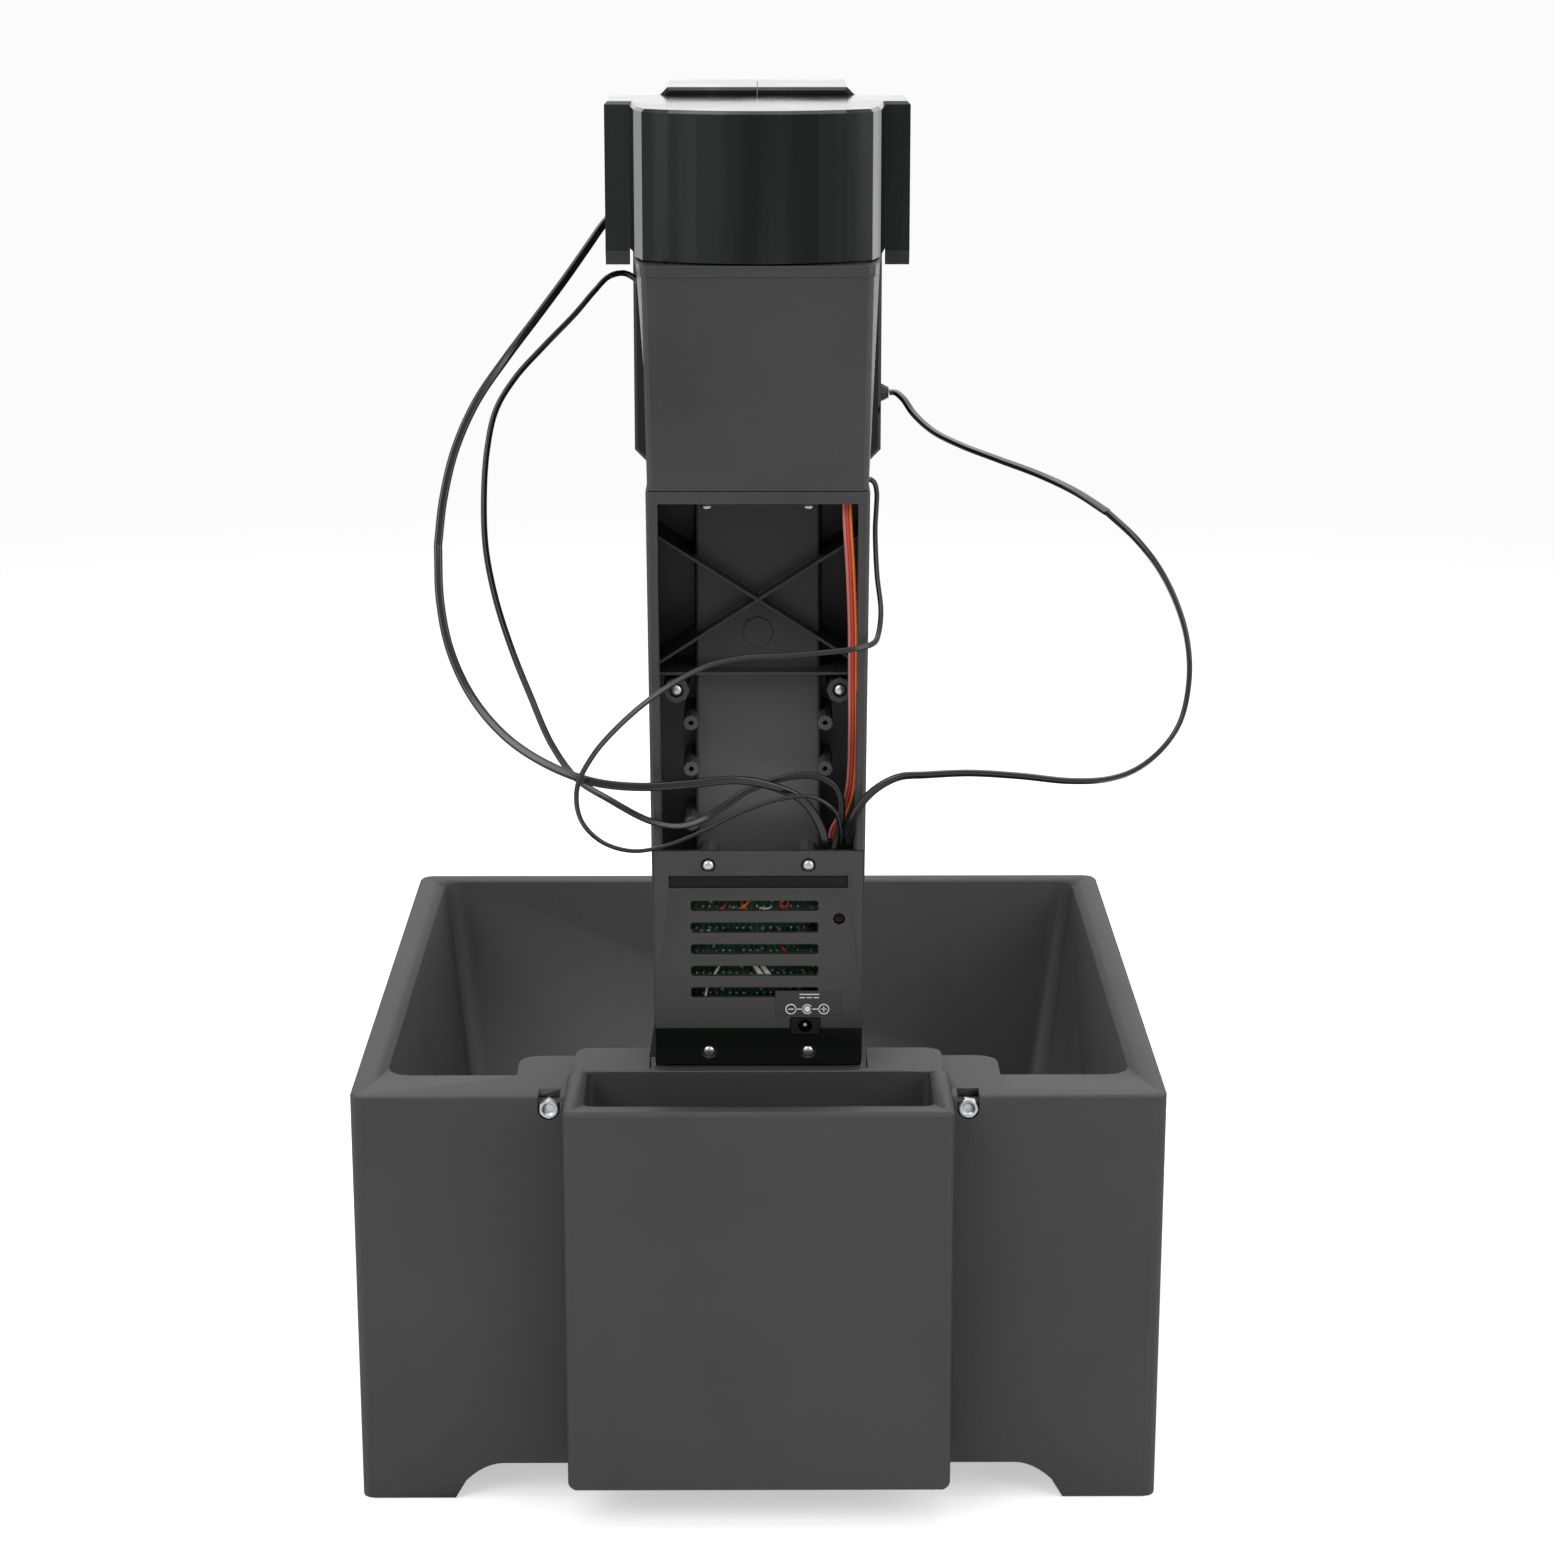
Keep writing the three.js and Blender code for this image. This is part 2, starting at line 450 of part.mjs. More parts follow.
function makeBin() {
  const ring = (shrink, z, inward = 0) => level(rounded(
    -bin.width / 2 + shrink + inward, bin.width / 2 - shrink - inward,
    place.nearFace + shrink + inward, place.farFace - shrink - inward, bin.corner,
  ), z);
  const body = loft([ring(bin.draft, 0), ring(0, bin.height - bin.edge), ring(bin.edge, bin.height)]);
  const hollow = loft([
    ring(bin.draft, bin.footPlate, bin.skin), ring(0, bin.height - bin.rimPlate, bin.skin)
  ])
    .subtract(hopperShape(hopper.wall, bin.height + gap.overrun));
  let made = body.subtract(hopperShape(0, bin.height)).subtract(hopperMouth()).subtract(hollow);

  // The skin is open between the corner feet, under the hopper.
  const footInner = bin.width / 2 - bin.footWidth;
  const curve = Array.from({ length: steps.arch + 1 }, (_, i) => i / steps.arch).map((t) => [
    footInner - bin.footSlant - bin.archCurve * t,
    bin.archHeight - (bin.archHeight - bin.footSlantRise) * (1 - t) ** 2,
  ]);
  const half = (side) => [[side * footInner, 0], ...curve.map(([u, v]) => [side * u, v])];
  const arch = [[-footInner, -gap.overrun], ...half(-1), ...half(1).reverse(), [footInner, -gap.overrun]];
  made = made.subtract(prism('y', arch, place.nearFace - gap.overrun, place.farFace + gap.overrun));
  made = made.subtract(prism(
    'x', arch.map(([u, v]) => [u + place.binY, v]), -bin.width / 2 - gap.overrun,
    bin.width / 2 + gap.overrun
  ));

  // A tab of the rear rim reaches in under the pocket's flange.
  const inner = place.nearFace + bin.nearRim;
  made = made.add(prism(
    'z', rounded(-bin.tabHalf, bin.tabHalf, inner - bin.tabReach, inner + bin.tabReach, bin.tabRound),
    bin.height - bin.rimPlate, bin.height
  ));

  // The ramp that lifts each ball into the duct.
  made = made.add(prism('y', [
    [-lift.halfLength, hopper.floor - hopper.wall / 2], [lift.halfLength, hopper.floor - hopper.wall / 2],
    [lift.halfLength, hopper.floor + lift.rise], [-lift.flatFrom, hopper.floor + lift.rise],
    [-lift.halfLength, hopper.floor],
  ], place.axisY - lift.halfWidth, place.axisY + lift.halfWidth));

  // Room for the pocket, the column, the bolts and the feed wheel's shaft.
  made = made.subtract(box(
    -pocket.width / 2 - gap.seat, pocket.width / 2 + gap.seat, place.nearFace - gap.overrun,
    place.pocketFront + gap.seat / 2,
    pocket.bottom - gap.seat, bin.height + gap.overrun,
  ));
  made = made.subtract(box(
    -column.topHalf - gap.slide, column.topHalf + gap.slide, place.pocketFront - gap.seat,
    place.columnFront + gap.slide,
    column.bottom - gap.slide, bin.height + gap.overrun,
  ));
  for (const side of [-1, 1]) {
    const notch = disc(side * bolt.offset, bolt.height, bolt.notch / 2, steps.bore);
    made = made.subtract(prism(
      'y', notch, place.nearFace - gap.overrun, place.nearFace + bin.skin + bolt.earDepth
    ));
    made = made.subtract(box(
      side * bolt.offset - bolt.notch / 2, side * bolt.offset + bolt.notch / 2,
      place.nearFace - gap.overrun,
      place.nearFace + bin.skin + bolt.earDepth, bolt.height, bin.height + gap.overrun,
    ));
  }
  return made.subtract(rod(
    'z', 0, place.feedY, feeder.shaft + gap.slide, hopper.floor - hopper.wall - gap.overrun,
    hopper.floor + gap.overrun
  ));
}

// The hopper's mouth runs on past the rim, so its edge is cut clean.
function hopperMouth() {
  return prism('z', rounded(
    -bin.width / 2 + bin.sideRim, bin.width / 2 - bin.sideRim,
    place.nearFace + bin.nearRim, place.farFace - bin.farRim, hopper.corner,
  ), bin.height - gap.weld, bin.height + gap.overrun);
}

function makePocket() {
  const rearY = place.pocketRear;
  const frontY = place.pocketFront;
  const half = pocket.width / 2;
  let made = prism(
    'z', rounded(-half, half, rearY, frontY, pocket.corner), pocket.bottom, pocket.top,
    { edge: pocket.edge }
  );
  made = made.intersect(prism('y', [
    [-half, pocket.bottom + pocket.footChamfer], [-half + pocket.footChamfer, pocket.bottom],
    [half - pocket.footChamfer, pocket.bottom],
    [half, pocket.bottom + pocket.footChamfer], [half, pocket.top], [-half, pocket.top],
  ], rearY, frontY));
  const flangeFront = frontY + pocket.flangeReach;
  made = made.add(prism('z', rounded(
    -pocket.flangeHalf, pocket.flangeHalf, frontY - pocket.frontWall, flangeFront, pocket.flangeRound,
  ), pocket.top - pocket.flangePlate, pocket.top));
  made = made.subtract(box(
    -column.topHalf - gap.slide, column.topHalf + gap.slide, frontY, flangeFront + gap.overrun,
    pocket.top - pocket.flangePlate - gap.overrun, pocket.top + gap.overrun,
  ));
  // An ear on each side, behind the bin's skin, takes the bolt.
  for (const side of [-1, 1]) {
    const [x0, x1] = span(side, half - pocket.sideWall / 2, half + bolt.earWidth);
    const earRear = place.nearFace + bin.skin + gap.seat;
    const earTop = bin.height - bin.rimPlate - gap.seat;
    made = made.add(box(x0, x1, earRear, earRear + bolt.earDepth, earTop - bolt.earHeight, earTop));
    made = made.subtract(rod(
      'y', side * bolt.offset, bolt.height, bolt.shank / 2 + gap.seat, earRear - gap.overrun,
      earRear + bolt.earDepth + gap.overrun
    ));
  }
  return made.subtract(prism('z', rounded(
    -half + pocket.sideWall, half - pocket.sideWall, rearY + pocket.rearWall, frontY - pocket.frontWall,
    pocket.corner,
  ), pocket.bottom + pocket.floorWall, pocket.top + gap.overrun));
}

function makeBolt(side) {
  const seat = place.nearFace + bin.skin;
  const corner = bolt.across / Math.sqrt(3);
  return prism('y', disc(side * bolt.offset, bolt.height, corner, 6), seat - bolt.head, seat)
    .add(rod(
      'y', side * bolt.offset, bolt.height, bolt.shank / 2, seat - bolt.head / 2, seat + bolt.length
    ));
}

function makeCover() {
  const drop = bin.skin + bin.draft + gap.slide;
  return prism(
    'z',
    rounded(
      -bin.width / 2 + drop, bin.width / 2 - drop, place.nearFace + drop, place.farFace - drop, bin.corner
    ),
    cover.bottom, cover.bottom + cover.thick
  )
    .subtract(box(
      -pocket.width / 2 - gap.slide, pocket.width / 2 + gap.slide, place.nearFace,
      place.pocketFront + gap.slide, cover.bottom - gap.overrun, cover.bottom + cover.thick + gap.overrun
    ));
}

// A pan-headed screw that points along +Y from the face that its head sits on.
function makeScrew(x, seatY, z, length = screw.length) {
  const profile = [
    [0, -screw.headHigh], [screw.head - screw.round, -screw.headHigh],
    [screw.head, -screw.headHigh + screw.round], [screw.head, 0], [screw.shank, 0],
    [screw.shank, length - screw.shank], [0, length]
  ];
  return turned('y', x, z, profile.map(([r, w]) => [r, w + seatY]), steps.small);
}

// The column's outline at a height, moved in by a wall for the inside.
function columnRing(z, inward) {
  const share = (z - column.bottom) / (column.top - column.bottom);
  const half = column.bottomHalf + (column.topHalf - column.bottomHalf) * share - inward;
  const [rear, front] = [place.columnRear + inward, place.columnFront - inward];
  const [round, chamfer] = [column.frontRound - inward, column.rearCorner];
  const arc = (side) => Array.from({ length: steps.corner + 1 }, (_, i) => {
    const angle = ((i / steps.corner) * Math.PI) / 2;
    return [side * (half - round + round * Math.cos(angle)), front - round + round * Math.sin(angle)];
  });
  return level([
    [-half + chamfer, rear], [half - chamfer, rear], [half, rear + chamfer], ...arc(1),
    ...arc(-1).reverse(), [-half, rear + chamfer],
  ], z);
}

const columnBlock = (from, to, inward) => loft([columnRing(from, inward), columnRing(to, inward)]);

// The shell, the duct, the web at the parting plane and the deck, before the column is parted.
function columnCore() {
  const over = gap.overrun;
  const shell = columnBlock(column.bottom, column.top, 0)
    .subtract(columnBlock(column.bottom - over, column.top - column.deck, column.wall));
  const web = columnBlock(column.bottom, column.top, column.wall / 2)
    .intersect(box(
      -column.topHalf, column.topHalf, place.axisY - column.web, place.axisY + column.web, column.bottom,
      column.top
    ));
  const flatRear = prism(
    'z',
    rounded(
      -place.ductOuter, place.ductOuter, place.axisY - place.ductOuter, place.axisY + duct.corner,
      duct.corner
    ),
    column.bottom, column.top
  );
  return joined(
    shell, web, rod('z', 0, place.axisY, place.ductOuter, column.bottom, column.top, steps.bore), flatRear
  );
}

const ductBore = () => rod(
  'z', 0, place.axisY, place.bore, column.bottom - gap.overrun, column.top + gap.overrun, steps.bore
);

// A rib across the column behind the window, from a height on its left to one on its right.
function rib(leftZ, rightZ) {
  const half = column.topHalf;
  const along = new THREE.Vector2(2 * half, rightZ - leftZ).normalize().multiplyScalar(brace.thick / 2);
  return prism('y', [
    [-half - along.y, leftZ + along.x], [-half + along.y, leftZ - along.x],
    [half + along.y, rightZ - along.x], [half - along.y, rightZ + along.x],
  ], place.columnRear + brace.rearSetIn, place.axisY - column.web);
}

function makeColumnRear() {
  const core = columnCore();
  const reach = column.topHalf + gap.overrun;
  let made = core.intersect(box(
    -reach, reach, place.columnRear - gap.overrun, place.axisY - gap.seat / 2, column.bottom - gap.overrun,
    column.top + gap.overrun
  ));
  const rear = place.columnRear;
  // The window, which runs on down behind the vented plate.
  made = made.subtract(box(
    -column.windowHalf, column.windowHalf, rear - gap.overrun, rear + column.wall, plate.bottom + plate.lip,
    column.windowTop
  ));
  const inside = columnBlock(column.windowBottom, column.windowTop, column.wall / 2);
  const ribs = joined(
    rib(brace.highZ, brace.lowZ),
    rib(brace.lowZ, brace.highZ),
    rib(brace.levelZ, brace.levelZ),
    rod(
      'y', 0, brace.padZ, brace.padRadius, place.axisY - place.ductOuter - brace.padRise,
      place.axisY - place.bore
    ),
  ).intersect(inside);
  made = made.add(ribs);
  for (const side of [-1, 1]) {
    made = made.add(rod(
      'y', side * boss.screwX, boss.screwZ, boss.outer, rear + boss.rearSetIn, place.axisY - gap.seat / 2
    ));
    made = made.subtract(rod('y', side * boss.screwX, boss.screwZ, boss.bore, rear, rear + boss.seatSetIn));
    made = made.subtract(rod(
      'y', side * boss.screwX, boss.screwZ, screw.pilot, rear, place.axisY + gap.overrun
    ));
    for (const z of [plate.screwTopZ, plate.screwLowZ]) {
      made = made.add(rod(
        'y', side * plate.screwX, z, plate.screwBoss,
        rear + plate.thick + (z < plate.crease ? plate.slant : 0) + gap.seat, place.axisY - place.bore / 2
      ));
      made = made.subtract(rod(
        'y', side * plate.screwX, z, screw.pilot, rear,
        rear + screw.length + gap.overrun + (z < plate.crease ? plate.slant : 0)
      ));
    }
    const standZ = side < 0 ? board.bottom + board.standRise : board.top - board.standRise;
    made = made.add(rod(
      'y', side * board.standX, standZ, board.standRadius, rear + board.setIn + board.thick + gap.seat,
      place.axisY - place.bore
    ));
    const low = side < 0 ? [
      boss.smallTopZ, boss.smallMidZ, boss.smallLowZ
    ] : [boss.smallTopZ, boss.smallMidZ];
    for (const z of low) {
      made = made.add(pipe(
        'y', side * boss.smallX, z, boss.smallOuter, boss.smallBore, rear + boss.smallRearSetIn,
        place.axisY - column.web, steps.small
      ));
    }
  }
  // The seat of the vented plate.
  made = made.subtract(prism('x', [
    [rear - gap.overrun, column.windowBottom + gap.seat], [rear - gap.overrun, plate.bottom - gap.seat],
    [rear + plate.thick + plate.slant + gap.seat, plate.bottom - gap.seat],
    [rear + plate.thick + plate.slant + gap.seat, plate.bottom],
    [rear + plate.thick + gap.seat, plate.crease],
    [rear + plate.thick + gap.seat, column.windowBottom + gap.seat],
  ], -reach, reach));
  // The foot flares out a little on the left.
  made = made.add(prism('y', [
    [-column.bottomHalf, column.bottom + gap.overrun + (plate.bottom - column.bottom)],
    [-column.bottomHalf - column.gussetOut, plate.bottom + gap.overrun],
    [-column.bottomHalf, column.gussetTop],
  ], rear + plate.thick + plate.slant + gap.slide, rear + plate.thick + plate.slant + gap.slide
    + column.gussetDepth));
  for (const side of [-1, 1]) {
    const padBottom = column.top - column.deck - neck.screwPad;
    made = made.add(rod(
      'z', side * neck.screwX, rear + neck.screwIn, plate.screwBoss, padBottom,
      column.top - column.deck + gap.overrun
    ));
    made = made.subtract(rod(
      'z', side * neck.screwX, rear + neck.screwIn, screw.pilot, padBottom - gap.overrun,
      column.top + gap.overrun
    ));
  }
  return made.subtract(ductBore());
}

function makeColumnFront() {
  const reach = column.topHalf + gap.overrun;
  let made = columnCore()
    .intersect(box(
      -reach, reach, place.axisY + gap.seat / 2, place.columnFront + gap.overrun,
      column.bottom - gap.overrun, column.top + gap.overrun
    ));
  for (const side of [-1, 1]) {
    made = made.add(rod(
      'y', side * boss.screwX, boss.screwZ, boss.outer, place.axisY + gap.seat / 2,
      place.axisY + boss.frontReach
    ));
    made = made.subtract(rod(
      'y', side * boss.screwX, boss.screwZ, screw.pilot, place.axisY,
      place.axisY + boss.frontReach - gap.overrun
    ));
  }
  return made.subtract(ductBore());
}

function makeVentPlate() {
  const rear = place.columnRear;
  let made = prism('x', [
    [rear, column.windowBottom], [rear, plate.crease], [rear + plate.slant, plate.bottom],
    [rear + plate.slant + plate.thick, plate.bottom], [rear + plate.thick, plate.crease],
    [rear + plate.thick, column.windowBottom],
  ], -plate.half, plate.half);
  const through = [rear - gap.overrun, rear + plate.thick + plate.slant + gap.overrun];
  made = made.subtract(box(
    -plate.slotHalf, plate.slotHalf, rear - gap.overrun, rear + plate.slotDeep, plate.slotBottom,
    plate.slotTop
  ));
  for (let i = 0; i < plate.ventCount; i++) {
    const top = plate.ventTop - i * plate.ventPitch;
    made = made.subtract(prism(
      'y',
      rounded(plate.ventLeft, plate.ventRight, top - plate.ventHigh, top, plate.ventHigh / 4, steps.arc),
      ...through
    ));
  }
  made = made.subtract(rod('y', plate.lampX, plate.lampZ, plate.lampRadius, ...through));
  for (const side of [-1, 1]) {
    for (const z of [plate.screwTopZ, plate.screwLowZ]) {
      const sunk = screwSeat(z);
      made = made.subtract(rod('y', side * plate.screwX, z, plate.sinkRadius, rear - gap.overrun, sunk));
      made = made.subtract(rod('y', side * plate.screwX, z, screw.pilot, ...through));
    }
  }
  const room = gap.seat;
  return made.subtract(box(
    jack.x - jack.halfWidth - room, jack.x + jack.halfWidth + room, ...through,
    jack.z - jack.halfHeight - room, jack.z + jack.halfHeight + room
  ));
}

// How far in the face of the vented plate lies where a screw sits.
function screwSeat(z) {
  const slant = z < plate.crease ? (plate.slant * (plate.crease - z)) / (plate.crease - plate.bottom) : 0;
  return place.columnRear + slant + plate.sinkDeep;
}

function makeBoard() {
  const y0 = place.columnRear + board.setIn;
  let made = box(-board.half, board.half, y0, y0 + board.thick, board.bottom, board.top);
  for (const side of [-1, 1]) {
    made = made.add(box(
      side * board.chipX - board.chipHalf, side * board.chipX + board.chipHalf, y0 - board.chipHigh,
      y0 + board.thick / 2, board.chipZ - board.chipHalf, board.chipZ + board.chipHalf
    ));
  }
  return made;
}

function makeJack() {
  const y0 = place.columnRear - jack.stand;
  const y1 = place.columnRear + board.setIn - gap.seat;
  return box(
    jack.x - jack.halfWidth, jack.x + jack.halfWidth, y0, y1, jack.z - jack.halfHeight,
    jack.z + jack.halfHeight
  )
    .subtract(rod('y', jack.x, jack.z, jack.bore, y0 - gap.overrun, y0 + jack.deep))
    .add(rod('y', jack.x, jack.z, jack.pin, y0 + gap.overrun, y0 + jack.deep + gap.overrun / 2));
}

function makeHeader() {
  const y1 = place.columnRear + board.setIn - gap.seat;
  return box(header.left, header.right, place.columnRear + header.rear, y1, header.bottom, header.top);
}

function makeNeck() {
  const ring = (z, inward, forward) => {
    const share = (z - neck.bottom) / (neck.top - neck.bottom);
    const rearHalf = neck.rearBottomHalf + (neck.rearTopHalf - neck.rearBottomHalf) * share - inward;
    const frontHalf = neck.frontBottomHalf + (neck.frontTopHalf - neck.frontBottomHalf) * share - inward;
    const rear = place.columnRear + inward;
    const c = neck.corner;
    return level(
      [
        [-rearHalf + c, rear], [rearHalf - c, rear], [rearHalf, rear + c],
        [frontHalf, place.neckFront + forward], [-frontHalf, place.neckFront + forward],
        [-rearHalf, rear + c]
      ],
      z
    );
  };
  let made = loft([ring(neck.bottom, 0, 0), ring(neck.top, 0, 0)]);
  made = made.subtract(loft([
    ring(neck.bottom - gap.overrun, neck.wall, gap.overrun),
    ring(neck.top - neck.plate, neck.wall, gap.overrun)
  ]));
  made = made.add(loft([ring(neck.top - neck.lip, -neck.lipOut, 0), ring(neck.top, -neck.lipOut, 0)])
    .subtract(loft([
      ring(neck.top - neck.lip - gap.overrun, neck.wall / 2, gap.overrun),
      ring(neck.top + gap.overrun, neck.wall / 2, gap.overrun)
    ])));
  made = made.subtract(rod(
    'z', 0, place.axisY, neck.hole, neck.top - neck.plate - gap.overrun, neck.top + gap.overrun, steps.large
  ));

  // The flange that the neck is screwed down by, and the shelf that carries the swing motor.
  const flange = box(
    -neck.rearBottomHalf + neck.wall / 2, neck.rearBottomHalf - neck.wall / 2,
    place.columnRear + neck.wall / 2, place.columnRear + neck.wall + neck.flangeReach, neck.bottom,
    neck.bottom + neck.flange
  );
  const shelfBottom = place.gearTop + swingMotor.shelfRise;
  const shelf = box(
    place.pinionX - swingMotor.radius, neck.rearBottomHalf - neck.wall / 2,
    place.columnRear + neck.wall / 2, place.pinionY + swingMotor.radius, shelfBottom,
    shelfBottom + swingMotor.shelf
  );
  made = joined(made, flange, shelf);
  made = made.subtract(rod(
    'z', place.pinionX, place.pinionY, swingMotor.foot + gap.swing, neck.bottom - gap.overrun,
    neck.bottom + neck.flange + gap.overrun
  ));
  made = made.subtract(rod(
    'z', place.pinionX, place.pinionY, swingMotor.shaft + gap.slide, shelfBottom - gap.overrun,
    shelfBottom + swingMotor.shelf + gap.overrun
  ));
  for (const side of [-1, 1]) {
    made = made.subtract(rod(
      'z', side * neck.screwX, place.columnRear + neck.screwIn, screw.pilot, neck.bottom - gap.overrun,
      neck.bottom + neck.flange + gap.overrun
    ));
  }
  // The notch low on the right that lets the swing motor's cable out.
  const notchY = place.columnRear + neck.notchIn;
  return made.subtract(box(
    neck.rearBottomHalf - neck.wall - gap.overrun, neck.rearBottomHalf + gap.overrun,
    notchY - neck.notchWide / 2, notchY + neck.notchWide / 2, neck.bottom - gap.overrun,
    neck.bottom + neck.notchHigh
  ));
}

// The neck's screws go in from below, so their heads hang under the column's deck.
function makeNeckScrew(side) {
  const seat = column.top - column.deck - neck.screwPad - gap.weld;
  const tip = neck.bottom + neck.flange + screw.headHigh;
  const head = seat - screw.headHigh;
  const profile = [
    [0, head], [screw.head - screw.round, head], [screw.head, head + screw.round], [screw.head, seat],
    [screw.shank, seat], [screw.shank, tip - screw.shank], [0, tip]
  ];
  return turned('z', side * neck.screwX, place.columnRear + neck.screwIn, profile, steps.small);
}

// An involute gear outline about (0, 0), with one tooth centred on the +X axis and
// teeth cut only on the arc about it.
function gearOutline(teeth, cut) {
  const pitch = (gear.module * teeth) / 2;
  const pressure = THREE.MathUtils.degToRad(gear.pressureDeg);
  const base = pitch * Math.cos(pressure);
  const tip = pitch + gear.module * gear.addendumShare;
  const root = pitch - gear.module * gear.dedendumShare;
  const involute = (angle) => Math.tan(angle) - angle;
  const halfAt = (radius) => {
    const angle = Math.acos(Math.min(1, base / Math.max(radius, base)));
    return (Math.PI * gear.module / 2 - gear.backlash) / 2 / pitch + involute(pressure) - involute(angle);
  };
  const start = Math.max(base, root);
  const radii = Array.from(
    { length: steps.flank + 1 }, (_, i) => start + ((tip - start) * i) / steps.flank
  );
  const flank = [
    [root, halfAt(start)], ...(start > root ? radii : radii.slice(1)).map((r) => [r, halfAt(r)])
  ];
  return Array.from({ length: teeth }, (_, tooth) => {
    const middle = (tooth / teeth) * Math.PI * 2;
    const missing = Math.min(tooth, teeth - tooth) > cut / 2;
    if (missing) return [[root * Math.cos(middle), root * Math.sin(middle)]];
    const low = flank.map(([r, half]) => [r, middle - half]);
    const high = flank.map(([r, half]) => [r, middle + half]).reverse();
    return [...low, ...high].map(([r, angle]) => [r * Math.cos(angle), r * Math.sin(angle)]);
  }).flat();
}

function placedGear(teeth, cut, turn, x, y, from, to) {
  const outline = gearOutline(teeth, cut).map(([u, v]) => [
    x + u * Math.cos(turn) - v * Math.sin(turn), y + u * Math.sin(turn) + v * Math.cos(turn),
  ]);
  return prism('z', outline, from, to);
}

function makeSwingGear() {
  const shoulder = place.ductOuter + gap.seat;
  return placedGear(
    gear.ringTeeth, gear.sectorTeeth, place.gearDirection, 0, place.axisY, place.gearBottom, place.gearTop
  )
    .subtract(rod(
      'z', 0, place.axisY, shoulder, place.gearBottom - gap.overrun, place.gearTop + gap.overrun, steps.bore
    ));
}

function makePinion() {
  const turn = place.gearDirection + Math.PI + Math.PI / gear.pinionTeeth;
  const shelfTop = place.gearTop + swingMotor.shelfRise + swingMotor.shelf;
  return placedGear(
    gear.pinionTeeth, gear.pinionTeeth, turn, place.pinionX, place.pinionY, place.gearBottom, place.gearTop
  )
    .add(rod(
      'z', place.pinionX, place.pinionY, swingMotor.foot, column.top + gap.slide, place.gearTop + gap.swing
    ))
    .add(rod(
      'z', place.pinionX, place.pinionY, swingMotor.shaft, place.gearTop, shelfTop + swingMotor.shaftDeep
    ));
}

function makeSwingMotor() {
  const bottom = place.gearTop + swingMotor.shelfRise + swingMotor.shelf + gap.seat;
  return rod(
    'z', place.pinionX, place.pinionY, swingMotor.radius, bottom, bottom + swingMotor.high, steps.bore
  )
    .add(rod(
      'z', place.pinionX, place.pinionY, swingMotor.capRadius, bottom,
      bottom + swingMotor.high + swingMotor.capHigh
    ))
    .subtract(rod(
      'z', place.pinionX, place.pinionY, swingMotor.shaft + gap.slide, bottom - gap.overrun,
      bottom + swingMotor.shaftDeep + gap.slide
    ));
}

const makeBearing = () => pipe(
  'z', 0, place.axisY, place.ductOuter + gap.slide + bearing.wall, place.ductOuter + gap.slide,
  column.top + gap.seat, column.top + gap.seat + bearing.high
);

// The ball's way through the head: up, round a quarter bend and out along +Y.
function elbowRings(radius, lowZ, frontY) {
  const ring = (y, z, tilt) => Array.from({ length: steps.bore }, (_, i) => {
    const angle = (i / steps.bore) * Math.PI * 2;
    const across = radius * Math.sin(angle);
    return [radius * Math.cos(angle), y + across * Math.cos(tilt), z - across * Math.sin(tilt)];
  });
  const rings = [ring(place.axisY, lowZ, 0)];
  for (let i = 0; i <= steps.bend; i++) {
    const tilt = ((i / steps.bend) * Math.PI) / 2;
    rings.push(ring(
      place.axisY + duct.elbowRadius * (1 - Math.cos(tilt)),
      head.exitZ - duct.elbowRadius * (1 - Math.sin(tilt)), tilt
    ));
  }
  rings.push(ring(frontY, head.exitZ, Math.PI / 2));
  return rings;
}

function makeElbow() {
  const low = column.top + gap.slide;
  const front = place.turretRear - gap.swing;
  const shoulder = place.gearTop + gap.seat;
  return loft(elbowRings(place.ductOuter, low, front))
    .add(rod(
      'z', 0, place.axisY, place.ductOuter + head.elbowShoulder, shoulder,
      shoulder + head.elbowShoulderHigh, steps.bore
    ))
    .subtract(loft(elbowRings(place.bore, low - gap.overrun, front + gap.overrun)));
}

function collarOuter() {
  return place.ductOuter + gap.slide + head.collarWall;
}

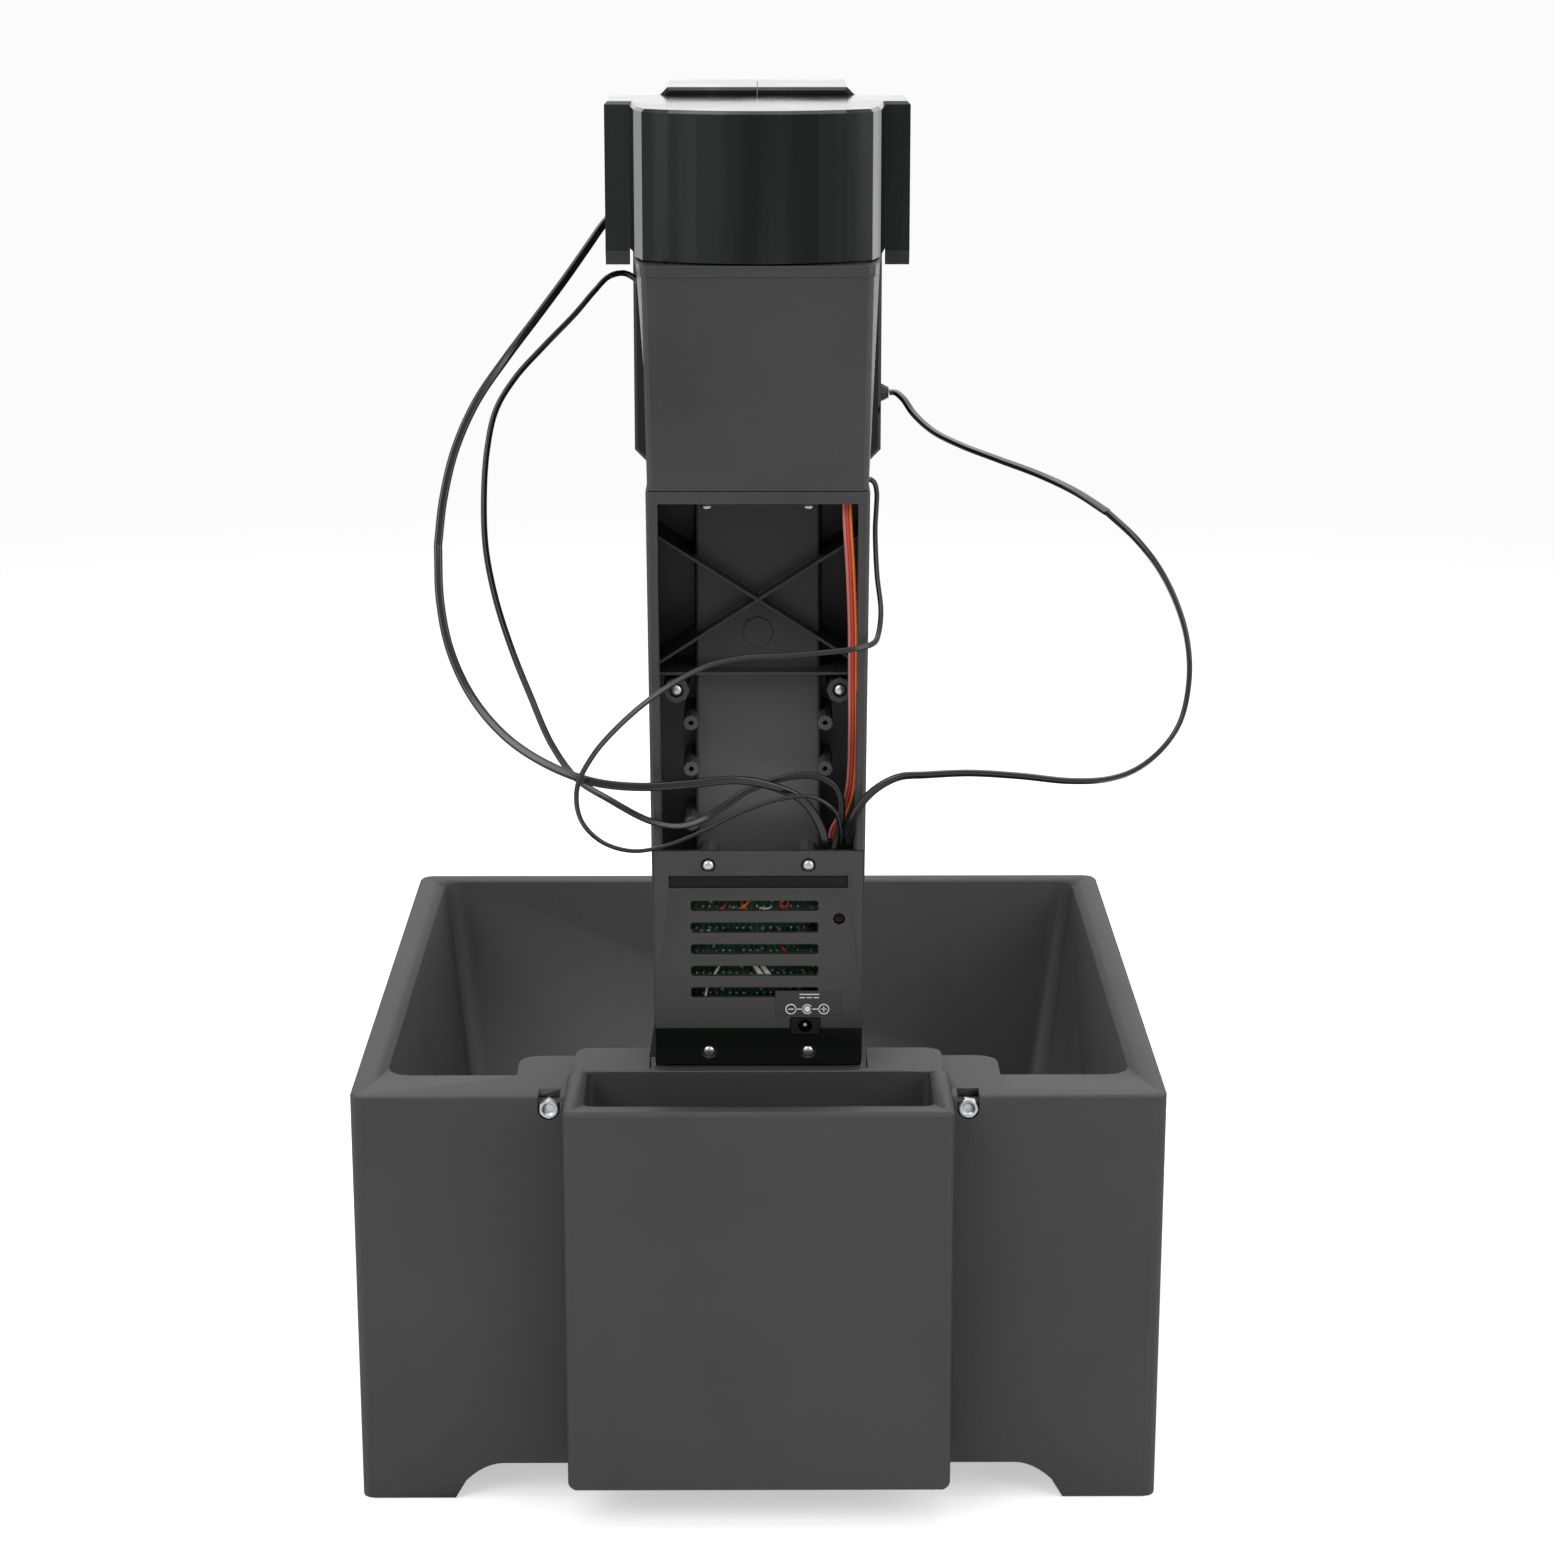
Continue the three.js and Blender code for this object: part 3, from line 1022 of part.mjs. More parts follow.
function makeHeadFrame() {
  const flangeOuter = collarOuter() + head.collarFlange;
  const top = visor.top - visor.wall - gap.seat;
  const arc = Array.from({ length: steps.small + 1 }, (_, i) => {
    const angle = Math.PI + (i / steps.small) * Math.PI;
    return [head.hubRadius * Math.cos(angle), head.exitZ + head.hubRadius * Math.sin(angle)];
  });
  const hub = pipe(
    'y', 0, head.exitZ, head.hubRadius, collarOuter() + gap.slide, place.headPlateRear, place.headPlateFront
  );
  // The carrier stands back from the hub, so that the turret's glands pass it.
  const carrierFront = place.headPlateFront - head.carrierSetIn;
  const carrier = prism(
    'y',
    [
      ...arc, [head.plateHalf, head.shoulderZ], [head.plateHalf, top], [-head.plateHalf, top],
      [-head.plateHalf, head.shoulderZ]
    ],
    carrierFront - head.carrierThick, carrierFront
  )
    .subtract(rod(
      'y', 0, head.exitZ, flangeOuter + gap.swing, carrierFront - head.carrierThick - gap.overrun,
      carrierFront + gap.overrun, steps.bore
    ));
  // Two arms carry the ring that grips the elbow behind the turret's collar.
  const yokeFront = place.headPlateRear - gap.slide - head.collarFlangeThick - head.yokeRoom - gap.overrun;
  const yokeRear = yokeFront - head.yokeThick;
  const yoke = pipe('y', 0, head.exitZ, head.yokeRing, place.ductOuter + gap.seat, yokeRear, yokeFront);
  const arms = pipe(
    'y', 0, head.exitZ, head.yokeRing, flangeOuter + gap.swing, yokeRear, place.headPlateRear + gap.overrun
  )
    .intersect(box(
      -head.yokeRing, head.yokeRing, yokeRear, place.headPlateRear + gap.overrun, head.exitZ - head.armHalf,
      head.exitZ + head.armHalf
    ));
  return joined(hub, carrier, yoke, arms);
}

// The turret turns on this collar, which runs in the head's plate and is held behind it by its flange.
function makeCollar() {
  const inner = place.ductOuter + gap.slide;
  const outer = collarOuter();
  const rear = place.headPlateRear - gap.slide;
  return pipe('y', 0, head.exitZ, outer, inner, rear - head.collarFlangeThick, place.turretRear - gap.seat)
    .add(pipe('y', 0, head.exitZ, outer + head.collarFlange, inner, rear - head.collarFlangeThick, rear));
}

function makeSensor() {
  const x1 = -place.ductOuter - gap.seat;
  const y0 = place.headPlateRear - gap.slide - head.collarFlangeThick - head.yokeRoom - gap.overrun
    - head.yokeThick - gap.seat;
  return box(
    x1 - head.sensorWide, x1, y0 - head.sensorLong, y0, head.exitZ - head.sensorHigh / 2,
    head.exitZ + head.sensorHigh / 2
  );
}

function visorOutline() {
  const middleY = place.visorRear + visor.panelRadius;
  const cut = Math.asin(visor.sideRearHalf / visor.panelRadius);
  const panel = Array.from({ length: steps.large / 4 + 1 }, (_, i) => {
    const angle = -Math.PI / 2 - cut + (i / (steps.large / 4)) * 2 * cut;
    return [visor.panelRadius * Math.cos(angle), middleY + visor.panelRadius * Math.sin(angle)];
  });
  const front = place.neckFront + visor.wingLength;
  return [
    [-visor.wingHalf, front], [-visor.wingHalf, place.neckFront], [-visor.sideFrontHalf, place.neckFront],
    ...panel,
    [visor.sideFrontHalf, place.neckFront], [visor.wingHalf, place.neckFront], [visor.wingHalf, front],
  ];
}

function makeVisor() {
  const outline = visorOutline();
  const front = place.neckFront + visor.wingLength;
  const grow = (list, forward) => list.map(([x, y], i) =>
    (i === 0 || i === list.length - 1 ? [x, y + forward] : [x, y])
  );
  const outer = loft([
    level(outline.map(([x, y]) => [x, y < front ? y + visor.bevelIn : y]), visor.bottom),
    level(outline, visor.bottom + visor.bevelHigh),
    level(outline, visor.top - visor.topRound), level(inset(outline, visor.topRound), visor.top),
  ]);
  const hollow = grow(inset(outline, visor.wall), visor.wall + gap.overrun);
  return outer
    .subtract(loft([level(hollow, visor.bottom - gap.overrun), level(hollow, visor.top - visor.wall)]))
    .subtract(box(
      -visor.wingHalf, visor.wingHalf, front - visor.topRound - visor.bevelIn, front + gap.overrun,
      visor.bottom - gap.overrun, visor.bottom + gap.weld
    ))
    // Over the neck the rear panel stops short of the lip that it swings above.
    .subtract(box(
      -visor.wingHalf, visor.wingHalf, place.visorRear - gap.overrun, place.neckFront - gap.seat,
      visor.bottom - gap.overrun, neck.top + visor.seamRoom
    ))
    .subtract(rod(
      'z', 0, place.axisY, visor.lowRoom, visor.bottom - gap.overrun, neck.top + visor.seamRoom, steps.large
    ));
}

const turretOutline = (inward) => {
  const [w, h] = [turret.half - inward, turret.halfHeight - inward];
  const chamfer = inward * (Math.SQRT2 - 1);
  const [cw, ch] = [turret.chamferWide - inward + chamfer, turret.chamferHigh - inward + chamfer];
  return [
    [-w, -h + ch], [-w + cw, -h], [w - cw, -h], [w, -h + ch], [w, h - ch], [w - cw, h], [-w + cw, h],
    [-w, h - ch]
  ]
    .map(([x, z]) => [x, z + head.exitZ]);
};

// One half of the turret; its motor's wheel lies above the exit on the left and below it on the right.
function makeTurretHalf(side) {
  const rear = place.turretRear;
  const front = rear + turret.depth;
  const shell = prism('y', turretOutline(0), rear, front, { edge: turret.edge })
    .subtract(prism('y', turretOutline(turret.wall), rear + turret.wall, front - turret.wall));
  const [x0, x1] = span(side, gap.seat / 2, turret.half + gap.overrun);
  const z = head.exitZ;
  let made = shell;
  // The guide beside the ball's way, and the plate that the motor is screwed to.
  const [g0, g1] = span(side, turret.guideHalf, turret.guideHalf + turret.guideThick);
  made = made.add(box(
    g0, g1, rear + turret.wall / 2, front - turret.wall / 2, z - turret.guideHigh, z + turret.guideHigh
  ));
  const motorZ = z - side * place.wheelRise;
  const plateIn = wheel.halfWidth + drive.room;
  const [m0, m1] = span(side, plateIn, plateIn + turret.mountThick);
  made = made.add(box(
    m0, m1, rear + turret.wall / 2, front - turret.wall / 2, motorZ - turret.mountHalf,
    motorZ + turret.mountHalf
  ));
  made = made.subtract(rod(
    'x', place.wheelY, motorZ, turret.mountHole, m0 - gap.overrun, m1 + gap.overrun
  ));
  for (const y of [rear + turret.screwIn, front - turret.screwIn]) {
    for (const dz of [-turret.screwZ, turret.screwZ]) {
      const [b0, b1] = span(side, 0, turret.half - turret.wall / 2);
      made = made.add(rod('x', y, z + dz, turret.screwBoss, b0, b1));
    }
  }
  made = made.intersect(box(
    x0, x1, rear - gap.overrun, front + gap.overrun, z - turret.halfHeight - gap.overrun,
    z + turret.halfHeight + gap.overrun
  ));
  for (const y of [rear + turret.screwIn, front - turret.screwIn]) {
    for (const dz of [-turret.screwZ, turret.screwZ]) {
      const deep = turret.half - screw.length - gap.overrun;
      if (side > 0) {
        made = made.subtract(rod(
          'x', y, z + dz, screw.head + gap.seat, turret.half - turret.screwSink, turret.half + gap.overrun
        ));
        made = made.subtract(rod(
          'x', y, z + dz, screw.pilot, deep, turret.half + gap.overrun, steps.small / 2
        ));
      }
    }
  }
  made = made.subtract(rod(
    'y', 0, z, turret.rearBore, rear - gap.overrun, rear + turret.wall + gap.overrun, steps.bore
  ));
  made = made.subtract(rod(
    'y', 0, z, nozzleOuter() + gap.seat, front - turret.wall - gap.overrun, front + gap.overrun, steps.bore
  ));
  return made;
}

const nozzleOuter = () => place.bore + gap.seat + nozzle.wall;

function makeTurretScrew(index) {
  const y = index % 2 === 0 ? place.turretRear + turret.screwIn : place.turretRear + turret.depth
    - turret.screwIn;
  const z = head.exitZ + (index < 2 ? turret.screwZ : -turret.screwZ);
  const seat = turret.half - turret.screwSink + gap.weld;
  const profile = [
    [0, seat + screw.headHigh], [screw.head - screw.round, seat + screw.headHigh],
    [screw.head, seat + screw.headHigh - screw.round], [screw.head, seat], [screw.shank, seat],
    [screw.shank, seat - screw.length + screw.headHigh * 2], [0, seat - screw.length + screw.headHigh]
  ];
  return turned('x', y, z, profile, steps.small / 2);
}

function makeNozzle() {
  const front = place.turretRear + turret.depth;
  const inner = place.bore + gap.seat;
  return pipe('y', 0, head.exitZ, nozzleOuter(), inner, front - nozzle.inside, front + nozzle.reach)
    .add(pipe(
      'y', 0, head.exitZ, nozzleOuter() + nozzle.flange, inner, front + gap.seat,
      front + gap.seat + nozzle.flangeThick
    ));
}

// A gland on each side of the turret, where its motor's cable comes out.
function makeGland(side) {
  const [from, to] = [turret.half + gap.seat, turret.half + gap.seat + turret.glandHigh];
  const profile = [[0, from], [turret.glandRadius, from], [cable.thick / 2 + gap.swing, to], [0, to]];
  return turned(
    'x', place.turretRear + turret.glandIn, side < 0 ? turret.glandUpperZ : turret.glandLowerZ,
    profile.map(([r, w]) => [r, side * w]), steps.small
  );
}

// A throwing wheel: side is where its motor lies.
function wheelZ(side) {
  return head.exitZ - side * place.wheelRise;
}

function makeHub(side) {
  const z = wheelZ(side);
  const rim = wheel.radius - wheel.rubber;
  const web = [
    [wheel.boss, -wheel.hubHalf], [wheel.boss, -wheel.webThick / 2],
    [rim - wheel.rimWall, -wheel.webThick / 2], [rim - wheel.rimWall, -wheel.hubHalf], [rim, -wheel.hubHalf]
  ];
  const profile = [
    [0, -wheel.hubHalf], ...web, ...web.map(([r, w]) => [r, -w]).reverse(), [0, wheel.hubHalf]
  ];
  const [s0, s1] = span(side, 0, wheel.halfWidth + drive.room + turret.mountThick + gap.seat + drive.depth);
  return turned('x', place.wheelY, z, profile).add(rod('x', place.wheelY, z, drive.shaft, s0, s1));
}

function makeTyre(side) {
  const z = wheelZ(side);
  const inner = wheel.radius - wheel.rubber + gap.seat;
  const profile = [
    [inner, -wheel.hubHalf], [wheel.radius, -wheel.halfWidth],
    [wheel.radius - wheel.crownIn / 2, -wheel.halfWidth / 2], [wheel.radius - wheel.crownIn, 0],
    [wheel.radius - wheel.crownIn / 2, wheel.halfWidth / 2], [wheel.radius, wheel.halfWidth],
    [inner, wheel.hubHalf], [inner, -wheel.hubHalf],
  ];
  return turned('x', place.wheelY, z, profile);
}

function makeDrive(side) {
  const z = wheelZ(side);
  const near = wheel.halfWidth + drive.room + turret.mountThick + gap.seat;
  const profile = [
    [0, near - drive.bellHigh], [drive.bell, near - drive.bellHigh], [drive.bell, near],
    [drive.radius - drive.round, near], [drive.radius, near + drive.round],
    [drive.radius, near + drive.length - drive.round], [drive.radius - drive.round, near + drive.length],
    [0, near + drive.length],
  ];
  const motor = turned('x', place.wheelY, z, profile.map(([r, w]) => [r, side * w]));
  const [s0, s1] = span(side, near - drive.bellHigh - gap.overrun, near + drive.depth + gap.slide);
  return motor.subtract(rod('x', place.wheelY, z, drive.shaft + gap.slide, s0, s1));
}

function makeFeeder() {
  const star = rod('z', 0, place.feedY, feeder.radius, feeder.bottom, feeder.top, steps.large)
    .subtract(joined(...Array.from({ length: feeder.pockets }, (_, i) => {
      const angle = -Math.PI / 2 + (i / feeder.pockets) * Math.PI * 2;
      return rod(
        'z', feeder.pocketRadius * Math.cos(angle), place.feedY + feeder.pocketRadius * Math.sin(angle),
        place.bore, feeder.bottom - gap.overrun, feeder.top + gap.overrun, steps.small + steps.corner
      );
    })));
  const hub = turned(
    'z', 0, place.feedY,
    [
      [0, feeder.bottom], [feeder.hub, feeder.bottom], [feeder.hub, feeder.hubTop - feeder.hubRound],
      [feeder.hub - feeder.hubRound, feeder.hubTop], [0, feeder.hubTop + feeder.hubRound / 2]
    ]
  );
  return joined(
    star, hub,
    rod(
      'z', 0, place.feedY, feeder.shaft, hopper.floor - hopper.wall - feeder.shaftDeep,
      feeder.bottom + gap.overrun
    )
  );
}

function makeFeedMotor() {
  const top = hopper.floor - hopper.wall - gap.seat;
  return rod('z', 0, place.feedY, feedMotor.radius, feedMotor.bottom, top, steps.bore)
    .subtract(rod(
      'z', 0, place.feedY, feeder.shaft + gap.slide,
      hopper.floor - hopper.wall - feeder.shaftDeep - gap.overrun, top + gap.overrun
    ));
}

const routeCurve = (points) => new THREE.CatmullRomCurve3(
  points.map((point) => new THREE.Vector3(...point)), false, 'centripetal'
);

// A section swept along a route of points.
function sweep(points, section, count) {
  const path = routeCurve(points);
  return solid(new THREE.ExtrudeGeometry(
    new THREE.Shape(toPoints(section)), { steps: count, extrudePath: path, bevelEnabled: false }
  ));
}

const makeCable = (points, diameter) =>
  sweep(
    points, disc(0, 0, diameter / 2, cable.sides),
    Math.round(routeCurve(points).getLength() / diameter / cable.stepPerDiameters)
  );

// Wires side by side in one flat ribbon.
function makeRibbon() {
  const middles = Array.from({ length: cable.wires }, (_, i) => (i - (cable.wires - 1) / 2) * cable.wire);
  const arc = (middle, from, to) => Array.from({ length: steps.arc + 1 }, (_, i) => {
    const angle = THREE.MathUtils.degToRad(from + ((to - from) * i) / steps.arc);
    return [middle + (cable.wire / 2) * Math.cos(angle), (cable.wire / 2) * Math.sin(angle)];
  });
  const under = middles.flatMap((middle, i) =>
    arc(middle, i === 0 ? 180 : 215, i === middles.length - 1 ? 360 : 325)
  );
  const over = middles.flatMap((middle) => arc(middle, 145, 35)).reverse();
  const section = [...under, ...over].map(([u, v]) => [v, u]);
  return sweep(routes.ribbon, section, cable.ribbonSteps);
}

function makePlug() {
  const y0 = place.columnRear + board.setIn + board.thick + gap.seat;
  return box(plug.left, plug.right, y0, y0 + plug.depth, plug.bottom, plug.top);
}

add('base', 'ball_bin', makeBin(), 'bin');
add('base', 'rear_pocket', makePocket(), 'bin');
add('base', 'bin_bolt_left', makeBolt(-1), 'steel');
add('base', 'bin_bolt_right', makeBolt(1), 'steel');
add('base', 'bottom_cover', makeCover(), 'bin');
add('base', 'feeder_motor', makeFeedMotor(), 'steel');
add('base', 'column_rear_frame', makeColumnRear(), 'satin');
add('base', 'column_front_cover', makeColumnFront(), 'satin');
add(
  'base', 'column_screw_left',
  makeScrew(
    -boss.screwX, place.columnRear + boss.seatSetIn, boss.screwZ,
    column.axisSetIn - boss.seatSetIn + boss.frontReach / 2
  ),
  'steel'
);
add(
  'base', 'column_screw_right',
  makeScrew(
    boss.screwX, place.columnRear + boss.seatSetIn, boss.screwZ,
    column.axisSetIn - boss.seatSetIn + boss.frontReach / 2
  ),
  'steel'
);
add('base', 'vent_plate', makeVentPlate(), 'satin');
[
  [-1, plate.screwTopZ, 'top_left'], [1, plate.screwTopZ, 'top_right'], [-1, plate.screwLowZ, 'low_left'],
  [1, plate.screwLowZ, 'low_right']
]
  .forEach(([side, z, name]) =>
    add('base', `vent_screw_${name}`, makeScrew(side * plate.screwX, screwSeat(z) - gap.weld, z), 'steel')
  );
add('base', 'control_board', makeBoard(), 'board');
add('base', 'dc_jack', makeJack(), 'inner');
add('base', 'cable_header', makeHeader(), 'white');
add('base', 'neck_rear_cover', makeNeck(), 'satin');
add('base', 'neck_screw_left', makeNeckScrew(-1), 'steel');
add('base', 'neck_screw_right', makeNeckScrew(1), 'steel');
add('base', 'swing_bearing', makeBearing(), 'white');
add('base', 'swing_motor', makeSwingMotor(), 'steel');
add('pinion', 'swing_pinion', makePinion(), 'white');
add('feeder', 'feeder_wheel', makeFeeder(), 'inner');
add('head', 'ball_elbow', makeElbow(), 'inner');
add('head', 'swing_gear', makeSwingGear(), 'white');
add('head', 'head_frame', makeHeadFrame(), 'inner');
add('head', 'ball_sensor', makeSensor(), 'inner');
add('head', 'head_rear_cover', makeVisor(), 'gloss');
add('turret', 'turret_collar', makeCollar(), 'inner');
add('turret', 'turret_left_half', makeTurretHalf(-1), 'gloss');
add('turret', 'turret_right_half', makeTurretHalf(1), 'gloss');
add('turret', 'exit_nozzle', makeNozzle(), 'gloss');
['upper_rear', 'upper_front', 'lower_rear', 'lower_front'].forEach((name, i) =>
  add('turret', `turret_screw_${name}`, makeTurretScrew(i), 'steel')
);
add('turret', 'upper_motor', makeDrive(-1), 'steel');
add('turret', 'lower_motor', makeDrive(1), 'steel');
add('turret', 'upper_gland', makeGland(-1), 'rubber');
add('turret', 'lower_gland', makeGland(1), 'rubber');
add('upper', 'upper_wheel_hub', makeHub(-1), 'inner');
add('upper', 'upper_wheel_tyre', makeTyre(-1), 'foam');
add('lower', 'lower_wheel_hub', makeHub(1), 'inner');
add('lower', 'lower_wheel_tyre', makeTyre(1), 'foam');

add('base', 'upper_motor_cable', makeCable(routes.upper, cable.thick), 'cord');
add('base', 'lower_motor_cable', makeCable(routes.lower, cable.thick), 'cord');
add('base', 'sensor_cable', makeCable(routes.sensor, cable.thin), 'cord');
add('base', 'swing_motor_cable', makeCable(routes.swing, cable.twin), 'cord');
add('base', 'ribbon_cable', makeRibbon(), 'ribbon');
add('base', 'ribbon_plug', makePlug(), 'white');
add('head', 'upper_motor_lead', makeCable(routes.upperLead, cable.thick), 'cord');
add('head', 'lower_motor_lead', makeCable(routes.lowerLead, cable.thick), 'cord');

export default robot;
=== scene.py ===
"""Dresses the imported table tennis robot: its cables, finishes, small parts and studio.

The robot's rear faces -Y and its balls leave towards +Y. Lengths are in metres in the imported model's frame,
apart from the cables' routes and the board's leads, which are given in millimetres.
"""
import json
import logging
import math
from dataclasses import dataclass, replace
from enum import Enum
from typing import Iterable, Sequence

import bmesh
import bpy
from mathutils import Matrix, Vector

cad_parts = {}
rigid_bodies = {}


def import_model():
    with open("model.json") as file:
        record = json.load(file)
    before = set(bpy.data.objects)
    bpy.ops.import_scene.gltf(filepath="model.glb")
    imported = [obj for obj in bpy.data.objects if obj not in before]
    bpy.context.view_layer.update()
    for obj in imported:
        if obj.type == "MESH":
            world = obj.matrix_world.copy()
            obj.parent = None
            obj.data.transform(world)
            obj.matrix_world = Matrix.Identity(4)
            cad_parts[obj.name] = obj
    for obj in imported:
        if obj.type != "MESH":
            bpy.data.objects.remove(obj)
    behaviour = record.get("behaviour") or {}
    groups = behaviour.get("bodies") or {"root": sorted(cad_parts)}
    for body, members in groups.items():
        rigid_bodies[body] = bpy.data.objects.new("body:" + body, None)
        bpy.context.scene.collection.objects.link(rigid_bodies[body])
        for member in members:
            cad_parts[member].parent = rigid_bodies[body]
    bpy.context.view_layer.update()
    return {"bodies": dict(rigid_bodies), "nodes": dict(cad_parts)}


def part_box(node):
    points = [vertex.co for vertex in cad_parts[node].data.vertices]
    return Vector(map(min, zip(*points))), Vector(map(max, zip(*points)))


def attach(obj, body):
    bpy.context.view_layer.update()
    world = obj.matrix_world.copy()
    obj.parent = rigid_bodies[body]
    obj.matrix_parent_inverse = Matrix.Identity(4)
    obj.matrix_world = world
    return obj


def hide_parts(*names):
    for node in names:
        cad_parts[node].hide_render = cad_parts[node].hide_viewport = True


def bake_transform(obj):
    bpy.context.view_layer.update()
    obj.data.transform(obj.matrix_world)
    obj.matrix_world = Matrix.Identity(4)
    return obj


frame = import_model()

MM = 0.001
MERGE_REACH = 0.00001
TOUCH = 0.000002
UP = Vector((0, 0, 1))
REARWARDS = Vector((0, -1, 0))
Shape = bmesh.types.BMesh
Piece = bpy.types.Object
Colour = tuple[float, float, float]
Point = tuple[float, float, float]
Corner = tuple[float, float]
Run = tuple[float, float, float, float, float]
log = logging.getLogger("robot")


class Body(Enum):
    """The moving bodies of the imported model."""

    BASE = "base"
    SWING_DRIVE = "swing_drive"
    FEEDER = "feeder"
    HEAD = "head"
    TURRET = "turret"
    UPPER_WHEEL = "upper_wheel"
    LOWER_WHEEL = "lower_wheel"


class Signal:
    """A node's output, which adds Math nodes when it is used in an expression."""

    def __init__(self, book: "NodeBook", socket: bpy.types.NodeSocket) -> None:
        """Keeps the output socket and the nodes that it belongs to."""
        self.book = book
        self.socket = socket

    def _math(self, operation: str, left: "Signal | float", right: "Signal | float") -> "Signal":
        """Adds one Math node for two values."""
        return self.book.node("ShaderNodeMath", {"operation": operation}, {0: left, 1: right})

    def __add__(self, other: "Signal | float") -> "Signal":
        """Adds."""
        return self._math("ADD", self, other)

    __radd__ = __add__

    def __sub__(self, other: "Signal | float") -> "Signal":
        """Subtracts."""
        return self._math("SUBTRACT", self, other)

    def __rsub__(self, other: "Signal | float") -> "Signal":
        """Subtracts from a number."""
        return self._math("SUBTRACT", other, self)

    def __mul__(self, other: "Signal | float") -> "Signal":
        """Multiplies."""
        return self._math("MULTIPLY", self, other)

    __rmul__ = __mul__

    def below(self, limit: float) -> "Signal":
        """Gives 1 where the value is below a limit, else 0."""
        return self._math("LESS_THAN", self, limit)

    def or_more(self, other: "Signal") -> "Signal":
        """Gives the larger of two values."""
        return self._math("MAXIMUM", self, other)

    def fade(self, start: float, end: float) -> "Signal":
        """Maps start to 0 and end to 1, smoothly, and holds beyond them.

        Args:
            start: The value that becomes 0.
            end: The value that becomes 1.

        Returns:
            The mapped value.
        """
        settings = {"interpolation_type": "SMOOTHSTEP"}
        values = {"Value": self, "From Min": start, "From Max": end}
        return self.book.node("ShaderNodeMapRange", settings, values)


class NodeBook:
    """Adds nodes to one node tree."""

    def __init__(self, tree: bpy.types.NodeTree) -> None:
        """Keeps the tree."""
        self.tree = tree

    def feed(self, socket: bpy.types.NodeSocket, value: object) -> None:
        """Sets an input, or links it where the value is a signal.

        Args:
            socket: The input socket.
            value: A signal, number, colour, vector or name.
        """
        if isinstance(value, Signal):
            self.tree.links.new(value.socket, socket)
        elif socket.type == "RGBA":
            socket.default_value = (*value, 1)
        else:
            socket.default_value = value

    def node(self, kind: str, settings: dict | None = None, values: dict | None = None,
             output: str | int = 0) -> Signal:
        """Adds any node.

        Args:
            kind: The node's type.
            settings: Its own settings, which are set first.
            values: The values or links of its sockets, by name or number.
            output: The output to return.

        Returns:
            That output.
        """
        made = self.tree.nodes.new(kind)
        for key, value in (settings or {}).items():
            setattr(made, key, value)
        for key, value in (values or {}).items():
            self.feed(made.inputs[key], value)
        return Signal(self, made.outputs[output])


